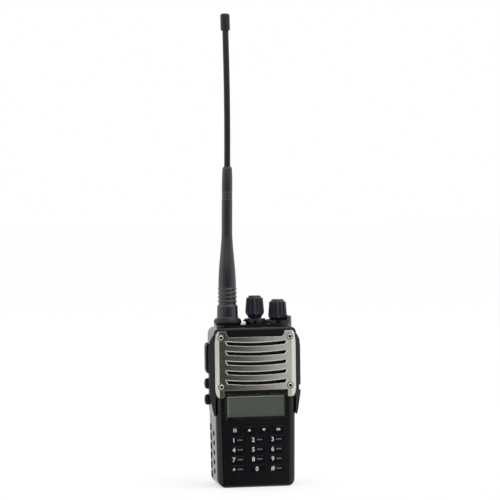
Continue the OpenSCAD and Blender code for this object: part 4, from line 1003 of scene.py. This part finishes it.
@dataclass
class KeyMarks:
    """Printed digits and plain signs on the keys."""

    palette: Palette
    digit_height: float = 3.0 * MM
    digit_share: float = 0.72
    digit_swell: float = 0.09 * MM
    digit_shift: float = -2.5 * MM
    hint_shift: float = 1.9 * MM
    tick_half: tuple[float, float] = (0.43 * MM, 0.5 * MM)
    tick_pitch: float = 1.3 * MM
    sign_half: float = 1.3 * MM
    ink: float = 0.04 * MM
    digits: dict[str, str] = field(default_factory=lambda: {
        "key_1": "1", "key_2": "2", "key_3": "3", "key_4": "4", "key_5": "5", "key_6": "6",
        "key_7": "7", "key_8": "8", "key_9": "9", "key_star": "*", "key_0": "0", "key_hash": "#",
    })
    signs: dict[str, Sign] = field(default_factory=lambda: {
        "function_key_1": Sign.BARS, "function_key_2": Sign.UP,
        "function_key_3": Sign.DOWN, "function_key_4": Sign.PAIR,
    })

    def build(self) -> list[bpy.types.Object]:
        """Prints every key.

        Returns:
            The marks, each riding on its key's body.
        """
        made = []
        for node, text in self.digits.items():
            x, y, z = self._face(node)
            shift = 0.0 if text == "0" else self.digit_shift
            made.append(self._finish(self._glyph(node, text, (x + shift, y, z)), node, Finish.INK))
            if text != "0":
                hint = self._hint(node, (x + self.hint_shift, y, z))
                made.append(self._finish(hint, node, Finish.FAINT_INK))
        for node, sign in self.signs.items():
            made.append(self._finish(self._sign(node, sign, self._face(node)), node, Finish.INK))
        return made

    @staticmethod
    def _face(node: str) -> Point:
        """Middle of a key's front face."""
        low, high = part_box(node)
        return (low.x + high.x) / 2, low.y, (low.z + high.z) / 2

    def _finish(self, piece: bpy.types.Object, node: str, ink: Finish) -> bpy.types.Object:
        """Inks a mark and lets it ride on its key.

        Args:
            piece: the mark.
            node: the key.
            ink: the mark's finish.

        Returns:
            The same mark.
        """
        self.palette.coat(piece, ink)
        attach(piece, node + "_body")
        return piece

    def _glyph(self, node: str, text: str, at: Point) -> bpy.types.Object:
        """A digit as a thin solid on a key's face.

        Args:
            node: the key.
            text: one character.
            at: the middle of the character, on the face.

        Returns:
            The mark.
        """
        letter = bpy.data.curves.new(node + "_letter", "FONT")
        letter.body = text
        letter.size = self.digit_height / self.digit_share
        letter.extrude = self.ink / 2
        letter.offset = self.digit_swell
        holder = placed(node + "_letter", letter)
        bpy.context.view_layer.update()
        mesh = bpy.data.meshes.new_from_object(holder.evaluated_get(bpy.context.evaluated_depsgraph_get()))
        bpy.data.objects.remove(holder)
        bpy.data.curves.remove(letter)
        flat = np.empty(len(mesh.vertices) * 3)
        mesh.vertices.foreach_get("co", flat)
        flat = flat.reshape(-1, 3)
        middle = (flat.min(axis=0) + flat.max(axis=0)) / 2
        spot = Matrix.Translation(Vector(at) - Vector((0, self.ink / 2, 0)))
        mesh.transform(spot @ Matrix.Rotation(math.pi / 2, 4, "X") @ Matrix.Translation(-Vector(middle)))
        mesh.name = node + "_digit"
        return placed(mesh.name, mesh)

    def _plates(self, name: str, shapes: Sequence[Array], at: Point) -> bpy.types.Object:
        """Thin flat shapes standing on a key's face.

        Each outline becomes a prism: its points on the face and again one ink thickness in front.

        Args:
            name: the piece's name.
            shapes: outlines in metres, across and up, anticlockwise seen from the front.
            at: the point on the face that they are drawn about.

        Returns:
            The mark.
        """
        points: list[Array] = []
        faces: list[list[int]] = []
        first = 0
        for shape in shapes:
            n = len(shape)
            ring = np.arange(n) + first
            after = np.roll(ring, -1)
            both = np.tile(shape, (2, 1))
            depth = np.repeat([0.0, -self.ink], n)
            points.append(np.stack([both[:, 0], depth, both[:, 1]], -1) + at)
            sides = np.stack([ring, after, after + n, ring + n], -1)
            faces += [(ring + n).tolist(), ring[::-1].tolist(), *sides.tolist()]
            first += 2 * n
        mesh = bpy.data.meshes.new(name)
        mesh.from_pydata(np.vstack(points).tolist(), [], faces)
        return placed(name, mesh)

    def _sign(self, node: str, sign: Sign, at: Point) -> bpy.types.Object:
        """A plain sign on a function key."""
        shapes = [np.asarray(shape, float) * self.sign_half for shape in sign.value]
        return self._plates(node + "_sign", shapes, at)

    def _hint(self, node: str, at: Point) -> bpy.types.Object:
        """Three small grey ticks beside a digit.

        Args:
            node: the key.
            at: the middle of the ticks, on the face.

        Returns:
            The mark.
        """
        tick = np.array([(-1, -1), (1, -1), (1, 1), (-1, 1)]) * self.tick_half
        ticks = [tick + (step * self.tick_pitch, 0.0) for step in (-1, 0, 1)]
        return self._plates(node + "_hint", ticks, at)


@dataclass
class BatterySeal:
    """Two soft beads on the chassis, beside the rails, that close the slit before the battery."""

    palette: Palette
    across: float = 24.2 * MM
    half_wide: float = 0.55 * MM
    slit: tuple[float, float] = (4.2 * MM, 4.5 * MM)
    play: float = 0.03 * MM
    foot: float = 3.2 * MM
    top: float = 87.0 * MM
    end: float = 1.2 * MM
    end_rows: int = 9
    rows: int = 20
    columns: int = 24
    oval_power: float = 0.5

    def build(self) -> list[bpy.types.Object]:
        """Draws both beads.

        Returns:
            The new pieces, riding on the radio.
        """
        made = []
        for name, x in (("seal_bead_left", -self.across), ("seal_bead_right", self.across)):
            piece = self._bead(name, x)
            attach(piece, "radio")
            self.palette.coat(piece, Finish.MAT)
            made.append(piece)
        return made

    def _bead(self, name: str, x: float) -> bpy.types.Object:
        """One bead.

        A flat oval, (w |cos t| ** power, b |sin t| ** power) with the signs kept, is carried up the
        slit, and near its ends it shrinks as the root of 1 - (1 - d / end) ** 2, with d the way
        from the end.

        Args:
            name: the bead's name.
            x: where it stands across.

        Returns:
            The bead.
        """
        height = np.concatenate([
            self.foot + self.end * np.linspace(0.0, 1.0, self.end_rows) ** 2,
            np.linspace(self.foot + self.end, self.top - self.end, self.rows)[1:-1],
            self.top - self.end * np.linspace(1.0, 0.0, self.end_rows) ** 2,
        ])[:, None]
        way = np.clip(np.minimum(height - self.foot, self.top - height) / self.end, 0.0, 1.0)
        size = np.sqrt(1.0 - (1.0 - way) ** 2)
        t = np.linspace(0.0, 2.0 * math.pi, self.columns, endpoint=False)[None, :]
        half_deep = (self.slit[1] - self.slit[0]) / 2 - self.play
        across = self.half_wide * np.sign(np.cos(t)) * np.abs(np.cos(t)) ** self.oval_power
        deep = half_deep * np.sign(np.sin(t)) * np.abs(np.sin(t)) ** self.oval_power
        middle = sum(self.slit) / 2
        points = np.stack(np.broadcast_arrays(x + size * across, middle + size * deep, height), -1)
        return mesh_piece(name, points.reshape(-1, 3), grid_faces(len(height), self.columns))


NODE_FINISH: dict[str, Finish] = {
    "front_case": Finish.CASE, "jack_cover": Finish.CASE, "rear_chassis": Finish.CHASSIS,
    "speaker_grille": Finish.GRILLE, "grille_screws": Finish.GRILLE_SCREW, "display_lens": Finish.WINDOW,
    "lcd_panel": Finish.DISPLAY, "lcd_holder": Finish.TRAY, "keypad_mat": Finish.MAT,
    "case_seal": Finish.MAT, "keypad_board": Finish.BOARD, "main_board": Finish.BOARD,
    "side_board": Finish.BOARD, "rf_shield": Finish.TIN, "board_screws": Finish.SCREW,
    "chassis_screws": Finish.SCREW, "shaft_nuts": Finish.BLACK_STEEL, "speaker": Finish.SPEAKER,
    "speaker_mesh": Finish.CLOTH, "microphone": Finish.TIN, "channel_encoder": Finish.TIN,
    "volume_pot": Finish.TIN, "channel_shaft": Finish.BLACK_STEEL, "volume_shaft": Finish.BLACK_STEEL,
    "antenna_connector": Finish.GOLD, "antenna_plug": Finish.GOLD, "radio_contacts": Finish.GOLD,
    "ptt_button": Finish.BUTTON, "side_key_upper": Finish.BUTTON, "side_key_lower": Finish.BUTTON,
    "side_switches": Finish.BUTTON, "jack_block": Finish.BUTTON, "led_lens": Finish.LIGHT,
    "battery_case": Finish.BATTERY, "battery_cover": Finish.BATTERY, "battery_latch": Finish.BUTTON,
    "battery_inside": Finish.CELL, "latch_spring": Finish.TIN,
}


@dataclass
class Housing:
    """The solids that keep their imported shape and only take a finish."""

    palette: Palette
    nodes: dict[str, bpy.types.Object]

    def dress(self) -> None:
        """Lays each node's finish on it; keys share one, and solids drawn again take the case's."""
        for name, piece in self.nodes.items():
            finish = NODE_FINISH.get(name, Finish.KEY if "key" in name else Finish.CASE)
            self.palette.coat(piece, finish)
            LOG.info("%s dressed %s", type(self).__name__, name)


@dataclass
class PhotoCamera:
    """The camera, at the angle and distance fitted to the photograph."""

    yaw: float = 10.18
    pitch: float = 2.24
    roll: float = -0.7
    distance: float = 1738 * MM
    target: Point = (-0.07 * MM, 0.0, 163.44 * MM)
    lens: float = 180.0
    sensor: float = 36.0
    near: float = 0.05
    far: float = 50.0

    def build(self) -> None:
        """Adds the camera: it looks along yaw and pitch at the target, rolled about that line."""
        yaw, pitch, roll = (math.radians(a) for a in (self.yaw, self.pitch, self.roll))
        ahead = Vector((math.sin(yaw) * math.cos(pitch), math.cos(yaw) * math.cos(pitch), -math.sin(pitch)))
        right = Vector((math.cos(yaw), -math.sin(yaw), 0.0))
        up = right.cross(ahead)
        across = right * math.cos(roll) + up * math.sin(roll)
        over = up * math.cos(roll) - right * math.sin(roll)
        data = bpy.data.cameras.new("photo_camera")
        data.lens = self.lens
        data.sensor_width = self.sensor
        data.sensor_fit = "HORIZONTAL"
        data.clip_start = self.near
        data.clip_end = self.far
        camera = placed("photo_camera", data)
        turn = Matrix((across, over, -ahead)).transposed().to_4x4()
        camera.matrix_world = Matrix.Translation(Vector(self.target) - ahead * self.distance) @ turn
        bpy.context.scene.camera = camera


@dataclass(frozen=True)
class SoftLamp:
    """One wide lamp and where it stands."""

    name: str
    place: Point
    size: float
    power: float
    aim: Point = (0.0, 0.0, 0.15)

    def build(self) -> None:
        """Adds the lamp, turned towards the radio's middle."""
        data = bpy.data.lights.new(self.name, "AREA")
        data.shape = "DISK"
        data.size = self.size
        data.energy = self.power
        spot = Vector(self.place)
        turn = (spot - Vector(self.aim)).to_track_quat("Z", "Y").to_matrix().to_4x4()
        placed(self.name, data).matrix_world = Matrix.Translation(spot) @ turn


@dataclass(frozen=True)
class GreyCard:
    """Curved grey card round the front, off camera, that glossy faces mirror.

    A point is (d sin a, -d cos a, z) over the card's angles and heights, and its tone follows the
    angle, in degrees right of the front.
    """

    name: str
    low: float
    high: float
    tones: Sequence[tuple[float, float]]
    distance: float = 1.2
    rows: int = 5
    columns: int = 49

    def build(self) -> None:
        """Adds the card as part of the stage."""
        first_angle, last_angle = self.tones[0][0], self.tones[-1][0]
        angles = np.radians(np.linspace(first_angle, last_angle, self.columns))[None, :]
        heights = np.linspace(self.low, self.high, self.rows)[:, None]
        d = self.distance
        points = np.stack(np.broadcast_arrays(d * np.sin(angles), -d * np.cos(angles), heights), -1)
        n = self.columns
        first = (np.arange(self.rows - 1)[:, None] * n + np.arange(n - 1)[None, :]).reshape(-1)
        faces = np.stack([first, first + n, first + n + 1, first + 1], -1)
        card = mesh_piece(self.name, points.reshape(-1, 3), faces)
        card.visible_camera = False
        material, sheet = new_sheet(self.name + "_tones")
        turn = sheet.math("ARCTAN2", sheet.axis("X"), sheet.axis("Y") * -1.0)
        spread = (turn - math.radians(first_angle)) / math.radians(last_angle - first_angle)
        stops = [((angle - first_angle) / (last_angle - first_angle), (tone, tone, tone))
                 for angle, tone in self.tones]
        tone = sheet.node("ShaderNodeValToRGB", {"stops": stops}, {0: spread})
        matt = sheet.node("ShaderNodeBsdfDiffuse", inputs={"Color": tone})
        sheet.node("ShaderNodeOutputMaterial", inputs={"Surface": matt})
        card.data.materials.append(material)


@dataclass
class Studio:
    """White room with a pale floor, grey cards round the camera and soft lamps above and beside."""

    floor_side: float = 3.0
    floor_front: float = 0.06
    floor_colour: Colour = (0.97, 0.97, 0.97)
    floor_glow: float = 0.62
    apron_back: float = 0.012
    cards: Sequence[GreyCard] = (
        GreyCard("card_low", -0.7, -0.03, (
            (-26, 0.9), (-20, 0.4), (-13, 0.05), (-4, 0.03), (6, 0.06), (10, 0.15), (14, 0.3),
            (18, 0.5), (23, 0.75), (28, 0.9),
        )),
        GreyCard("card_middle", -0.03, 0.062, (
            (-26, 0.9), (-20, 0.4), (-13, 0.04), (-4, 0.02), (2, 0.025), (6, 0.05), (10, 0.15),
            (14, 0.37), (18, 0.62), (23, 0.85), (28, 0.95),
        )),
        GreyCard("card_high", 0.062, 0.3, (
            (-75, 0.9), (-62, 0.35), (-45, 0.06), (-13, 0.03), (2, 0.04), (8, 0.14), (15, 0.38),
            (20, 0.2), (30, 0.06), (44, 0.35), (55, 0.9),
        )),
    )
    lamps: Sequence[SoftLamp] = (
        SoftLamp("lamp_above", (0.55, -0.45, 1.5), 1.2, 5.0),
        SoftLamp("lamp_left", (-1.4, 0.2, 0.7), 0.9, 1.2),
    )

    def build(self) -> None:
        """Builds the floor, the world, the cards and the lamps."""
        self._floor()
        self._world()
        for fitting in (*self.cards, *self.lamps):
            fitting.build()
        bpy.context.scene.view_settings.view_transform = "Standard"

    def _floor(self) -> None:
        """Pale sheet under the radio, white to the eye, that keeps its shadow.

        Its apron in front of the radio ends near it and stays out of the glossy front's mirror.
        """
        material, sheet = new_sheet("pale_floor")
        ways = [sheet.node("ShaderNodeLightPath", out=f"Is {way} Ray")
                for way in ("Camera", "Transmission", "Glossy")]
        seen = sheet.math("MAXIMUM", sheet.math("MAXIMUM", ways[0], ways[1]), ways[2])
        matt = sheet.node("ShaderNodeBsdfDiffuse", inputs={"Color": (*self.floor_colour, 1.0)})
        glow = sheet.node("ShaderNodeEmission", inputs={"Color": WHITE, "Strength": 1.0})
        mixed = sheet.node("ShaderNodeMixShader", inputs={0: seen * self.floor_glow, 1: matt, 2: glow})
        sheet.node("ShaderNodeOutputMaterial", inputs={"Surface": mixed})
        side = self.floor_side
        strips = (("floor", -self.apron_back, 2 * side), ("floor_apron", -self.floor_front, -self.apron_back))
        for name, front, back in strips:
            mesh = bpy.data.meshes.new(name)
            corners = [(-side, front, 0), (side, front, 0), (side, back, 0), (-side, back, 0)]
            mesh.from_pydata(corners, [], [(0, 1, 2, 3)])
            mesh.materials.append(material)
            strip = placed(name, mesh)
            strip.visible_glossy = name == "floor"

    def _world(self) -> None:
        """Even white surroundings."""
        world = bpy.data.worlds.new("white_room")
        world.use_nodes = True
        bpy.context.scene.world = world
        sheet = NodeSheet(world.node_tree)
        room = sheet.node("ShaderNodeBackground", inputs={"Color": WHITE, "Strength": 1.0})
        sheet.node("ShaderNodeOutputWorld", inputs={"Surface": room})


def main() -> None:
    """Builds the scene in order and reports each piece."""
    logging.basicConfig(level=logging.INFO, format="%(name)s: %(message)s")
    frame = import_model()
    palette = Palette()
    PhotoCamera().build()
    Studio().build()
    Housing(palette, frame["nodes"]).dress()
    for assembly in (Antenna(palette), Knobs(palette), KeyMarks(palette), BatterySeal(palette)):
        for piece in assembly.build():
            LOG.info("%s made %s", type(assembly).__name__, piece.name)


if __name__ == "__main__":
    main()
